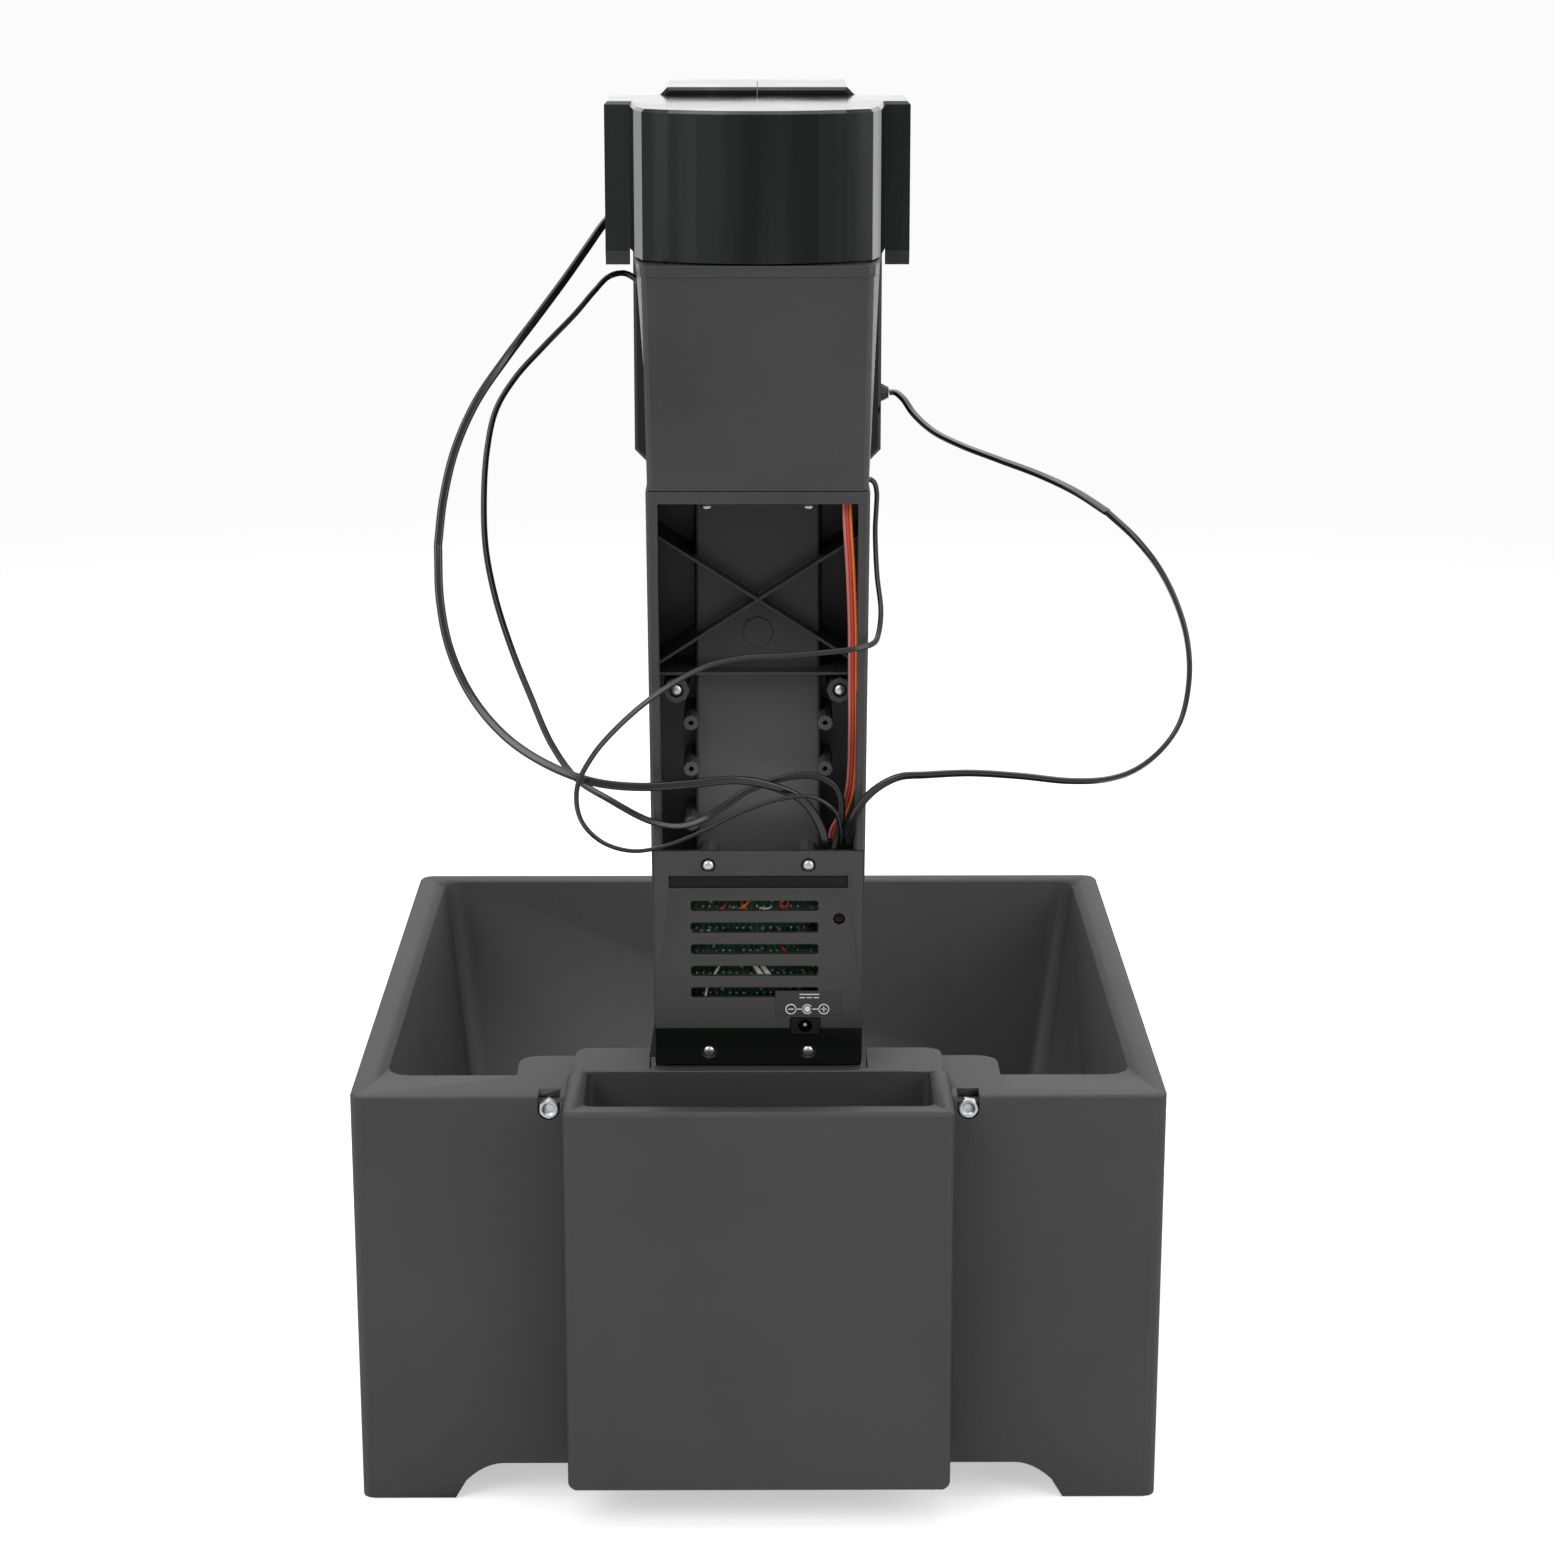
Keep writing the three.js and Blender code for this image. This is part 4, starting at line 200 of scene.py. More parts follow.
class Recipe(NodeBook):
    """Builds the nodes of one material."""

    def __init__(self, name: str) -> None:
        """Starts a material with only a Principled shader.

        Args:
            name: The material's name.
        """
        self.material = bpy.data.materials.new(name)
        self.material.use_nodes = True
        super().__init__(self.material.node_tree)
        self.tree.nodes.clear()
        self.output = self.tree.nodes.new("ShaderNodeOutputMaterial")
        self.shader = self.tree.nodes.new("ShaderNodeBsdfPrincipled")
        self.show(Signal(self, self.shader.outputs[0]))
        self.place = self.node("ShaderNodeTexCoord", output="Object")

    def show(self, surface: Signal) -> None:
        """Makes a shader the material's surface."""
        self.feed(self.output.inputs["Surface"], surface)

    def noise(self, scale: float, detail: float = 3, stretch: Point = (1, 1, 1), seed: float = 0) -> Signal:
        """Adds noise on the object's own coordinates.

        Args:
            scale: Its size, in features to the metre.
            detail: How many finer layers it has.
            stretch: How much closer its features lie along each axis.
            seed: A shift that makes it differ from other noise of the same scale.

        Returns:
            The noise, from 0 to 1.
        """
        moved = self.node("ShaderNodeMapping", values={
            "Vector": self.place, "Location": (seed, seed, seed), "Scale": stretch}, output="Vector")
        return self.node("ShaderNodeTexNoise", values={"Vector": moved, "Scale": scale, "Detail": detail})

    def mix(self, share: "Signal | float", first: object, second: object) -> Signal:
        """Mixes two colours.

        Args:
            share: How much of the second shows.
            first: The first colour.
            second: The second colour.

        Returns:
            The mixed colour.
        """
        made = self.tree.nodes.new("ShaderNodeMix")
        made.data_type = "RGBA"
        inputs = [s for s in made.inputs if s.enabled]
        for socket, value in zip(inputs, (share, first, second)):
            self.feed(socket, value)
        return Signal(self, next(s for s in made.outputs if s.enabled))

    def axis(self, name: str) -> Signal:
        """Gives X, Y or Z of the object's own frame, in metres."""
        return self.node("ShaderNodeSeparateXYZ", values={0: self.place}, output=name)

    def soft_edge(self, radius: float) -> Signal:
        """Gives a normal that rounds sharp edges by a radius."""
        return self.node("ShaderNodeBevel", {"samples": 4}, {"Radius": radius})

    def edge_mask(self, rounded: Signal) -> Signal:
        """Marks where a rounded normal leaves the true one.

        Args:
            rounded: The rounded normal.

        Returns:
            A value that is 1 on edges and 0 on flats.
        """
        true_normal = self.node("ShaderNodeNewGeometry", output="True Normal")
        facing = self.node("ShaderNodeVectorMath", {"operation": "DOT_PRODUCT"},
                           {0: rounded, 1: true_normal}, output="Value")
        return (1 - facing).fade(0.01, 0.25)

    def bump(self, height: Signal, depth: float, normal: Signal | None = None) -> Signal:
        """Adds a Bump node.

        Args:
            height: The height pattern, from 0 to 1.
            depth: The height of 1 in metres.
            normal: The normal it works from.

        Returns:
            The bumped normal.
        """
        values = {"Height": height, "Distance": depth, "Strength": 1}
        if normal is not None:
            values["Normal"] = normal
        return self.node("ShaderNodeBump", values=values)

    def finish(self, **values: object) -> bpy.types.Material:
        """Feeds the Principled shader.

        Args:
            values: Its inputs, with underscores for the spaces in their names.

        Returns:
            The finished material.
        """
        for key, value in values.items():
            self.feed(self.shader.inputs[key.replace("_", " ")], value)
        return self.material


def toned(colour: Colour, factor: float, lift: float = 0.0) -> Colour:
    """Multiplies a colour and adds grey to it, up to white."""
    return tuple(min(1.0, c * factor + lift) for c in colour)


@dataclass(frozen=True)
class PaintedNicheShading:
    """Painted light and shade in the deep part of the cable window: painted light makes its foot paler and
    painted shade darkens it under the neck.
    """

    depth: tuple[float, float] = (-0.110, -0.100)
    half: float = 0.0380
    foot: float = 0.250
    head: float = 0.345
    # painted light at the foot and painted shade under the neck, as factors on the plastic's colour
    foot_painted_light: float = 3.2
    head_painted_shade: float = 0.12
    rim: float = 0.0005

    def shade(self, recipe: Recipe, outside: Signal, colour: Colour) -> Signal:
        """Mixes in painted light at the window's foot and painted shade under the neck.

        Args:
            recipe: The material that is being made.
            outside: The colour outside the niche.
            colour: The plastic's plain colour.

        Returns:
            The mixed colour.
        """
        # painted shade: darker towards the top under the neck, and painted light: paler towards the foot
        high = recipe.axis("Z").fade(self.foot, self.head)
        inside = recipe.mix(high, toned(colour, self.foot_painted_light), toned(colour, self.head_painted_shade))
        across = recipe.axis("X")
        near = (across * across).fade((self.half + self.rim) ** 2, self.half ** 2)
        return recipe.mix(recipe.axis("Y").fade(*self.depth) * near, outside, inside)


@dataclass(frozen=True)
class MouldedPlastic:
    """Injection-moulded plastic with a spark-eroded grain."""

    colour: Colour
    roughness: float = 0.5
    grain: float = 1500.0
    grain_depth: float = 0.00004
    specular: float = 0.5
    cloud: float = 0.10
    edge: float = 0.0005
    wear: float = 0.35
    flow: Point = (1, 1, 1)
    coat: float = 0.0
    # painted light and shade for the cable window's deep part, if any
    painted_niche_shading: PaintedNicheShading | None = None
    uneven: float = 0.16
    dust: float = 0.06
    worn_rough: float = 0.08

    def material(self, name: str) -> bpy.types.Material:
        """Builds the material.

        Args:
            name: Its name.

        Returns:
            The material.
        """
        recipe = Recipe(name)
        grain = recipe.noise(self.grain, 2)
        cloud = recipe.noise(16, 4, self.flow)
        dust = recipe.noise(260, 6, seed=3.1).fade(0.6, 0.75) * self.dust
        edge = recipe.soft_edge(self.edge)
        worn = recipe.edge_mask(edge) * self.wear
        pale = toned(self.colour, 2.2, 0.03)
        deep, light = toned(self.colour, 1 - self.cloud), toned(self.colour, 1 + self.cloud)
        colour = recipe.mix(cloud.fade(0.3, 0.7), deep, light)
        colour = recipe.mix(dust, colour, pale)
        colour = recipe.mix(worn, colour, pale)
        # painted light at the window's foot and painted shade under the neck
        if self.painted_niche_shading:
            colour = self.painted_niche_shading.shade(recipe, colour, self.colour)
        rough = self.roughness + (cloud - 0.5) * self.uneven + dust + worn * self.worn_rough
        made = recipe.finish(Base_Color=colour, Roughness=rough, Specular_IOR_Level=self.specular,
                             Normal=recipe.bump(grain, self.grain_depth, edge))
        if self.coat:
            recipe.finish(Coat_Weight=cloud.fade(0.38, 0.62) * self.coat, Coat_Roughness=self.roughness)
        return made


@dataclass(frozen=True)
class PlatedSteel:
    """Zinc-plated or drawn steel with fine scratches."""

    colour: Colour
    roughness: float
    brushed: Point = (1, 1, 1)
    spangle: float = 0.2
    scratch: float = 0.1
    scratch_depth: float = 0.00002
    edge: float = 0.0002

    def material(self, name: str) -> bpy.types.Material:
        """Builds the material.

        Args:
            name: Its name.

        Returns:
            The material.
        """
        recipe = Recipe(name)
        scratch = recipe.noise(900, 5, self.brushed)
        spangle = recipe.noise(220, 2, seed=1.7)
        edge = recipe.soft_edge(self.edge)
        colour = recipe.mix(spangle.fade(0.35, 0.7), self.colour, toned(self.colour, 0.72))
        rough = self.roughness + (spangle - 0.5) * self.spangle + scratch * self.scratch
        return recipe.finish(Base_Color=colour, Roughness=rough, Metallic=1.0,
                             Normal=recipe.bump(scratch, self.scratch_depth, edge))


@dataclass(frozen=True)
class SoftSkin:
    """Rubber, foam or a cable's sheath."""

    colour: Colour
    roughness: float = 0.5
    pore: float = 1200.0
    pore_depth: float = 0.00003
    specular: float = 0.5
    bloom: float = 0.15
    uneven: float = 0.2

    def material(self, name: str) -> bpy.types.Material:
        """Builds the material.

        Args:
            name: Its name.

        Returns:
            The material.
        """
        recipe = Recipe(name)
        pores = recipe.node("ShaderNodeTexVoronoi", values={"Vector": recipe.place, "Scale": self.pore},
                            output="Distance")
        cloud = recipe.noise(70, 4)
        pale = toned(self.colour, 1.8, 0.012)
        colour = recipe.mix(cloud.fade(0.4, 0.8) * self.bloom, self.colour, pale)
        rough = self.roughness + (cloud - 0.5) * self.uneven
        return recipe.finish(Base_Color=colour, Roughness=rough, Specular_IOR_Level=self.specular,
                             Normal=recipe.bump(pores, self.pore_depth))


@dataclass(frozen=True)
class CircuitResist:
    """A printed circuit board: green resist over copper tracks, with bright vias."""

    resist: Colour = (0.004, 0.032, 0.014)
    track: Colour = (0.010, 0.085, 0.035)
    via: Colour = (0.55, 0.50, 0.35)
    pitch: float = 0.0022
    track_width: float = 0.17
    via_size: float = 0.16
    track_depth: float = 0.00004

    def material(self, name: str) -> bpy.types.Material:
        """Builds the material.

        Args:
            name: Its name.

        Returns:
            The material.
        """
        recipe = Recipe(name)
        cell = recipe.node("ShaderNodeTexVoronoi", {"distance": "MANHATTAN"},
                           {"Vector": recipe.place, "Scale": 1 / (3 * self.pitch), "Randomness": 0.9},
                           output="Color")
        split = recipe.node("ShaderNodeSeparateColor", values={0: cell}, output=0)
        lanes = recipe.node("ShaderNodeMath", {"operation": "PINGPONG"},
                            {0: recipe.axis("X") + split * self.pitch * 3, 1: self.pitch / 2})
        tracks = lanes.below(self.pitch * self.track_width)
        dots = recipe.node("ShaderNodeTexVoronoi", values={"Vector": recipe.place, "Scale": 260,
                                                           "Randomness": 0.6}, output="Distance")
        vias = dots.below(self.via_size)
        colour = recipe.mix(tracks, self.resist, self.track)
        colour = recipe.mix(vias, colour, self.via)
        return recipe.finish(Base_Color=colour, Roughness=0.3 + recipe.noise(300) * 0.15,
                             Metallic=vias * 0.8, Normal=recipe.bump(tracks, self.track_depth))


BIN_GREY: Colour = (0.030, 0.030, 0.0302)
SHELL_GREY: Colour = (0.029, 0.029, 0.0288)
GLOSS_BLACK: Colour = (0.0060, 0.0072, 0.0068)


def insulation(colour: Colour) -> SoftSkin:
    """Gives the finish of a thin wire's insulation."""
    return SoftSkin(colour, roughness=0.4, pore_depth=0.00001)


class Coat(Enum):
    """Every finish on the robot, and how it is made."""

    BIN = MouldedPlastic(BIN_GREY, roughness=0.62, grain=900, grain_depth=0.00006)
    SHELL = MouldedPlastic(SHELL_GREY, roughness=0.38, grain=1300, grain_depth=0.00002)
    # the rear frame's plastic, with painted light at its window's foot and painted shade under the neck
    FRAME = replace(SHELL, painted_niche_shading=PaintedNicheShading())
    GLOSS = MouldedPlastic(GLOSS_BLACK, roughness=0.11, grain=420, grain_depth=0.000004, specular=0.24,
                           edge=0.0003, cloud=0.3, flow=(2.4, 2.4, 0.16), coat=0.42)
    INNER = MouldedPlastic((0.010, 0.010, 0.010), roughness=0.5, wear=0.15)
    BRIGHT = PlatedSteel((0.60, 0.61, 0.62), roughness=0.3)
    CAN = PlatedSteel((0.50, 0.51, 0.53), roughness=0.34, brushed=(1, 1, 14))
    RUBBER = SoftSkin((0.010, 0.010, 0.010), roughness=0.62)
    FOAM = SoftSkin((0.36, 0.12, 0.035), roughness=0.8, pore=700, pore_depth=0.00022, bloom=0.5)
    SHEATH = SoftSkin((0.0065, 0.0065, 0.0068), roughness=0.2, pore=2400, pore_depth=0.000006, specular=0.55)
    WIRE_ROSE = insulation((0.42, 0.13, 0.10))
    WIRE_RED = insulation((0.50, 0.030, 0.014))
    WIRE_ORANGE = insulation((0.60, 0.15, 0.03))
    WIRE_WHITE = insulation((0.62, 0.62, 0.60))
    BOARD = CircuitResist()
    NYLON = MouldedPlastic((0.62, 0.60, 0.54), roughness=0.45, grain_depth=0.00001, wear=0.1)
    CHIP = MouldedPlastic((0.005, 0.005, 0.0055), roughness=0.5, grain=2500, grain_depth=0.00001,
                          specular=0.2)
    # darker, glossier plastic for the vented plate's down-facing slant: the gloss is its finish, the darkness
    # is painted shade
    FOOT = MouldedPlastic((0.006, 0.007, 0.006), roughness=0.3, grain_depth=0.00001, specular=0.25)
    FOIL = MouldedPlastic((0.022, 0.023, 0.021), roughness=0.3, grain_depth=0.000002, specular=0.4, wear=0)
    LENS = MouldedPlastic((0.004, 0.0015, 0.001), roughness=0.2, grain_depth=0.000001, specular=0.15, wear=0)
    INK = MouldedPlastic((0.72, 0.72, 0.72), roughness=0.55, grain_depth=0.000005, wear=0)

    @property
    def material(self) -> bpy.types.Material:
        """The coat's material, built when it is first asked for."""
        name = self.name.lower()
        return bpy.data.materials.get(name) or self.value.material(name)


def from_mm(points: Iterable[Point]) -> list[Vector]:
    """Turns points in millimetres into vectors in metres."""
    return [Vector((x * MM, y * MM, z * MM)) for x, y, z in points]


def dress(mesh: bpy.types.Mesh, coat: Coat) -> None:
    """Gives a mesh one finish."""
    mesh.materials.clear()
    mesh.materials.append(coat.material)


def add_object(name: str, mesh: bpy.types.Mesh, coat: Coat | None = None) -> Piece:
    """Links a mesh to the scene as an object at the origin.

    Args:
        name: The object's name.
        mesh: Its mesh.
        coat: Its finish, unless the mesh brings its own.

    Returns:
        The object.
    """
    made = bpy.data.objects.new(name, mesh)
    bpy.context.scene.collection.objects.link(made)
    if coat is not None:
        dress(mesh, coat)
    return made


def close(shape: Shape, name: str, coat: Coat | None, body: Body | None,
          smooth_deg: float | None = 35.0) -> Piece:
    """Turns a bmesh into a finished piece.

    Args:
        shape: The bmesh, which is freed.
        name: The piece's name.
        coat: Its finish.
        body: The body it rides on, or None for a prototype or a stage object.
        smooth_deg: The angle above which its edges stay sharp, or None for flat faces.

    Returns:
        The piece.
    """
    mesh = bpy.data.meshes.new(name)
    shape.to_mesh(mesh)
    shape.free()
    if smooth_deg is not None:
        mesh.shade_smooth()
        mesh.set_sharp_from_angle(angle=math.radians(smooth_deg))
    made = add_object(name, mesh, coat)
    if body is not None:
        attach(made, body.value)
    return made


def smooth_line(points: Sequence[Vector], step: float) -> list[Vector]:
    """Runs a smooth line through points.

    Args:
        points: The points in order.
        step: About how far apart the line's points lie.

    Returns:
        The line's points.
    """
    ends = [points[0] * 2 - points[1], *points, points[-1] * 2 - points[-2]]
    line = [points[0].copy()]
    for a, b, c, d in zip(ends, ends[1:], ends[2:], ends[3:]):
        knots = [0.0]
        for p, q in ((a, b), (b, c), (c, d)):
            knots.append(knots[-1] + max((q - p).length, 1e-6) ** 0.5)
        count = max(2, round((c - b).length / step))
        for i in range(1, count + 1):
            at = knots[1] + (knots[2] - knots[1]) * i / count
            line.append(_between(knots, (a, b, c, d), at))
    return line


def _between(knots: Sequence[float], points: Sequence[Vector], at: float) -> Vector:
    """Gives a point of a Catmull-Rom span.

    Args:
        knots: The four points' places along the line.
        points: The four points.
        at: The wanted place.

    Returns:
        The point there.
    """
    row = list(points)
    for reach in (1, 2):
        row = [_weigh(a, b, knots[i], knots[i + reach], at) for i, (a, b) in enumerate(zip(row, row[1:]))]
    return _weigh(row[0], row[1], knots[1], knots[2], at)


def _weigh(first: Vector, second: Vector, start: float, end: float, at: float) -> Vector:
    """Weighs two points by how far at lies between start and end."""
    share = (at - start) / (end - start)
    return first * (1 - share) + second * share


def length_of(line: Sequence[Vector]) -> float:
    """Adds up a line's length."""
    return sum((b - a).length for a, b in zip(line, line[1:]))


def frames_along(line: Sequence[Vector], first_side: Vector) -> list[tuple[Vector, Vector]]:
    """Carries two side directions along a line with as little turning as possible.

    Args:
        line: The line's points.
        first_side: About where the first direction points at the start.

    Returns:
        The two directions at each point.
    """
    tangents = [(after - before).normalized()
                for before, after in zip([line[0], *line[:-1]], [*line[1:], line[-1]])]
    side = (first_side - tangents[0] * first_side.dot(tangents[0])).normalized()
    frames = []
    for tangent in tangents:
        side = (side - tangent * side.dot(tangent)).normalized()
        frames.append((side, tangent.cross(side)))
    return frames


def bridge(shape: Shape, rings: Sequence[Sequence[bmesh.types.BMVert]], loop: bool = False,
           material_index: int = 0) -> None:
    """Joins rings of vertices by faces, and closes both ends.

    Args:
        shape: The bmesh that holds them.
        rings: The rings, each of one vertex or of as many as the others.
        loop: Whether the last ring joins the first, so that there are no ends.
        material_index: The faces' material.
    """
    faces = []
    for low, high in [*zip(rings, rings[1:]), *([(rings[-1], rings[0])] if loop else [])]:
        count = max(len(low), len(high))
        for i in range(count):
            j = (i + 1) % count
            faces.append((low[i % len(low)], low[j % len(low)], high[j % len(high)], high[i % len(high)]))
    if not loop:
        faces += [rings[0][::-1], rings[-1]]
    for corners in faces:
        unique = list(dict.fromkeys(corners))
        if len(unique) > 2:
            shape.faces.new(unique).material_index = material_index


def add_tube(shape: Shape, line: Sequence[Vector], section: Sequence[Corner],
             first_side: Vector, twist: float = 0.0, material_index: int = 0) -> None:
    """Sweeps a closed section along a line and caps both ends.

    Args:
        shape: The bmesh that it goes into.
        line: The line's points.
        section: The section's corners, anticlockwise seen against the line.
        first_side: Where the section's first axis points at the start.
        twist: How far the section turns over the whole line, in radians.
        material_index: The faces' material.
    """
    rings = []
    last = len(line) - 1
    for index, (point, (side, other)) in enumerate(zip(line, frames_along(line, first_side))):
        turn = twist * index / last
        across = side * math.cos(turn) + other * math.sin(turn)
        up = other * math.cos(turn) - side * math.sin(turn)
        rings.append([shape.verts.new(point + across * a + up * b) for a, b in section])
    bridge(shape, rings, material_index=material_index)


def turns_round(sides: int) -> list[float]:
    """Gives the angles of a full turn's steps."""
    return [math.tau * i / sides for i in range(sides)]


def round_section(radius: float, sides: int = 14) -> list[Corner]:
    """Gives a circle's corners."""
    return [(radius * math.cos(t), radius * math.sin(t)) for t in turns_round(sides)]


def twin_section(width: float, sides: int = 10) -> list[Corner]:
    """Gives the outline of a two-core sheath, with a shallow groove between the cores.

    Args:
        width: The cable's width; the outline is a tenth wider, as its twist hides part of it.
        sides: The steps on each core.

    Returns:
        The outline's corners.
    """
    full = width * 1.1
    core = full * 0.30
    offset = full / 2 - core
    reach = math.radians(104)
    turns = [-reach + 2 * reach * i / sides for i in range(sides + 1)]
    right = [(offset + core * math.cos(t), core * math.sin(t)) for t in turns]
    return right + [(-x, -y) for x, y in right]


def add_revolved(shape: Shape, profile: Sequence[Corner], centre: Vector,
                 axis: Vector, sides: int = 32, loop: bool = False) -> None:
    """Turns a profile about an axis.

    Args:
        shape: The bmesh that it goes into.
        profile: Points of (radius, height along the axis), from the low end to the high one, anticlockwise.
        centre: Where height 0 lies.
        axis: The axis, of length 1.
        sides: The steps round it.
        loop: Whether the profile runs back to its start, as a ring's does.
    """
    side = axis.orthogonal().normalized()
    other = axis.cross(side)
    spokes = [side * math.cos(t) + other * math.sin(t) for t in turns_round(sides)]
    rings = []
    for radius, height in profile:
        middle = centre + axis * height
        reach = spokes if radius > 0 else spokes[:1]
        rings.append([shape.verts.new(middle + spoke * radius) for spoke in reach])
    bridge(shape, rings, loop)


def add_box(shape: Shape, low: Point, high: Point) -> list[bmesh.types.BMVert]:
    """Adds a closed box.

    Args:
        shape: The bmesh that it goes into.
        low: Its lowest corner.
        high: Its highest corner.

    Returns:
        Its vertices.
    """
    made = bmesh.ops.create_cube(shape, size=1.0)["verts"]
    size, middle = Vector(high) - Vector(low), (Vector(low) + Vector(high)) / 2
    for vert in made:
        vert.co = Vector((vert.co.x * size.x, vert.co.y * size.y, vert.co.z * size.z)) + middle
    return made


@dataclass
class Cord:
    """One two-core cable, as a sheath swept along its route."""

    name: str
    node: str
    route: Sequence[Point]
    diameter: float
    twist: float
    body: Body
    bends_with: Body | None = None
    step: float = 0.0014

    def build(self) -> Piece:
        """Returns:
            The cable's piece.
        """
        line = smooth_line(from_mm(self.route), self.step)
        shape = bmesh.new()
        add_tube(shape, line, twin_section(self.diameter), Vector((1, 0, 0.1)), self.twist)
        made = close(shape, self.name, Coat.SHEATH, None, smooth_deg=60)
        if self.bends_with is None:
            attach(made, self.body.value)
        else:
            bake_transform(made)
        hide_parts(self.node)
        round(length_of(line), 4)
        return made


@dataclass
class Wiring:
    """The robot's cables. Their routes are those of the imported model, in millimetres."""

    motor_thick: float = 0.003
    swing_thick: float = 0.002
    sensor_thick: float = 0.0024
    wire_thick: float = 0.0013
    ribbon_step: float = 0.0015
    upper_lead: Sequence[Point] = (
        (-52.1, -11, 484), (-54.4, -11, 484), (-57.3, -12.6, 482.8), (-60.2, -16, 480),
        (-65.8, -24, 472.5), (-74.4, -34, 460.9), (-85.2, -45, 447.1), (-96.3, -55, 433.1),
        (-107.5, -63, 417.3), (-115.4, -70, 399.9), (-119.8, -76, 381.7), (-121.7, -81, 365.2),
    )
    upper: Sequence[Point] = (
        (-121.7, -81, 365.2), (-120.8, -88, 345.3), (-116.8, -95, 327.4), (-108.2, -103, 310.9),
        (-95, -112, 297.5), (-78.8, -121, 288.9), (-61.4, -126, 283.5), (-43.8, -126, 281.6),
        (-25.5, -124, 282.2), (-8.7, -121.5, 283.1), (3.7, -118.5, 280.4), (16.5, -116, 274),
        (22.5, -114.4, 265.5), (25.1, -112.4, 257.5), (25.5, -110.9, 252.5), (25.5, -110.3, 248.3),
    )
    sensor: Sequence[Point] = (
        (-33.6, -42, 455.5), (-38, -42, 456.5), (-45, -42, 460.5), (-51, -42.5, 464), (-57, -44.5, 463),
        (-62.5, -48, 457.8), (-69.9, -52, 449.5), (-81.2, -58, 438.4), (-92.4, -64, 426.6),
        (-99.6, -68, 415), (-103, -72, 400.2), (-104.2, -77, 381.9), (-103.4, -82, 363.5),
        (-99.6, -87, 345.1), (-93.5, -92, 326.7), (-86.6, -98, 310.6), (-78.1, -106, 293),
        (-68.4, -113, 281.4), (-55.8, -118.5, 274.6), (-40.8, -120.5, 267), (-29.6, -117, 264.1),
        (-20.2, -112.5, 266), (-13, -110, 269.9), (-3.9, -108.5, 275.7), (7.5, -108, 279.8),
        (15.9, -108, 281.4), (24.2, -108, 280.4), (30.3, -108, 275.6), (31.8, -108.2, 266),
        (29.8, -108.8, 257), (28.5, -109.8, 252.3), (28.3, -110.3, 248.3),
    )
    lower_lead: Sequence[Point] = (
        (52.1, -11, 413.5), (54.4, -11, 413.5), (57.4, -13, 411.4), (61.6, -18.6, 406),
        (68.8, -26.6, 400.4), (79, -36, 396.4), (93.8, -49, 392.5), (108.4, -62, 388.8),
        (121.3, -74, 384.2), (132.4, -84, 378.2),
    )
    lower: Sequence[Point] = (
        (132.4, -84, 378.2), (142.3, -93, 369.9), (150.6, -99, 359.9), (157.1, -104, 347.5),
        (161.2, -108, 333.7), (162, -111, 319), (158.7, -114, 303.5), (151.5, -117, 293.4),
        (141.6, -120, 286.4), (131.3, -122, 283.4), (116.9, -124, 283.2), (98, -125, 285.4),
        (79.2, -126, 286.8), (62.4, -126, 286.1), (53, -126, 285.4), (45.5, -125, 281.5),
        (39.6, -123, 275.5), (35.8, -119.8, 268), (34.6, -115.4, 260.5), (34.4, -112.3, 255.5),
        (34.3, -110.8, 251.8), (34.3, -110.3, 248.3),
    )
    swing: Sequence[Point] = (
        (32.2, -90.6, 412), (35, -87.4, 410.6), (36.4, -86, 406), (36.4, -86, 401.4),
        (36.1, -88.8, 397.6), (35.7, -93.4, 394.9), (36.1, -97.2, 393.8), (38.4, -98.6, 393.6),
        (41, -98.8, 393.6), (43.4, -99, 392.4), (44.5, -99, 388.4), (44.4, -99.3, 383), (44, -100, 374.3),
        (44.7, -103, 357.7), (46.1, -107, 345.1), (45.2, -112.5, 337.8), (43.2, -118.6, 335),
        (37, -122.6, 333.8), (23, -124, 332.3), (10, -125.5, 331.5), (-4.8, -126, 330.9),
        (-19.7, -127, 327.7), (-36.4, -129, 318.7), (-51.3, -131, 306.6), (-61.7, -133, 294.9),
        (-67.4, -134, 282.9), (-66.1, -134, 271), (-58.4, -133, 262.2), (-47.2, -132, 258.4),
        (-34.9, -130, 259.8), (-20, -127, 265.2), (-5, -124.5, 271.9), (8.9, -121.5, 275.7),
        (20.2, -120, 276.1), (28.6, -118.6, 270.5), (30.9, -115.2, 262.5), (31.2, -112.4, 256.5),
        (31.2, -110.8, 252), (31.2, -110.3, 248.3),
    )
    ribbon: Sequence[Point] = (
        (33.2, -110.6, 388.1), (33.2, -110.9, 384.5), (33.6, -112.9, 375.5), (34.4, -113.2, 363.8),
        (35.4, -113.2, 340.9), (35.6, -113.2, 317.8), (35.8, -110, 299), (35.7, -105, 284.5),
        (34.6, -103, 272.5), (31.4, -102.6, 263), (29, -102.6, 258.6), (28.5, -102.6, 255.3),
    )

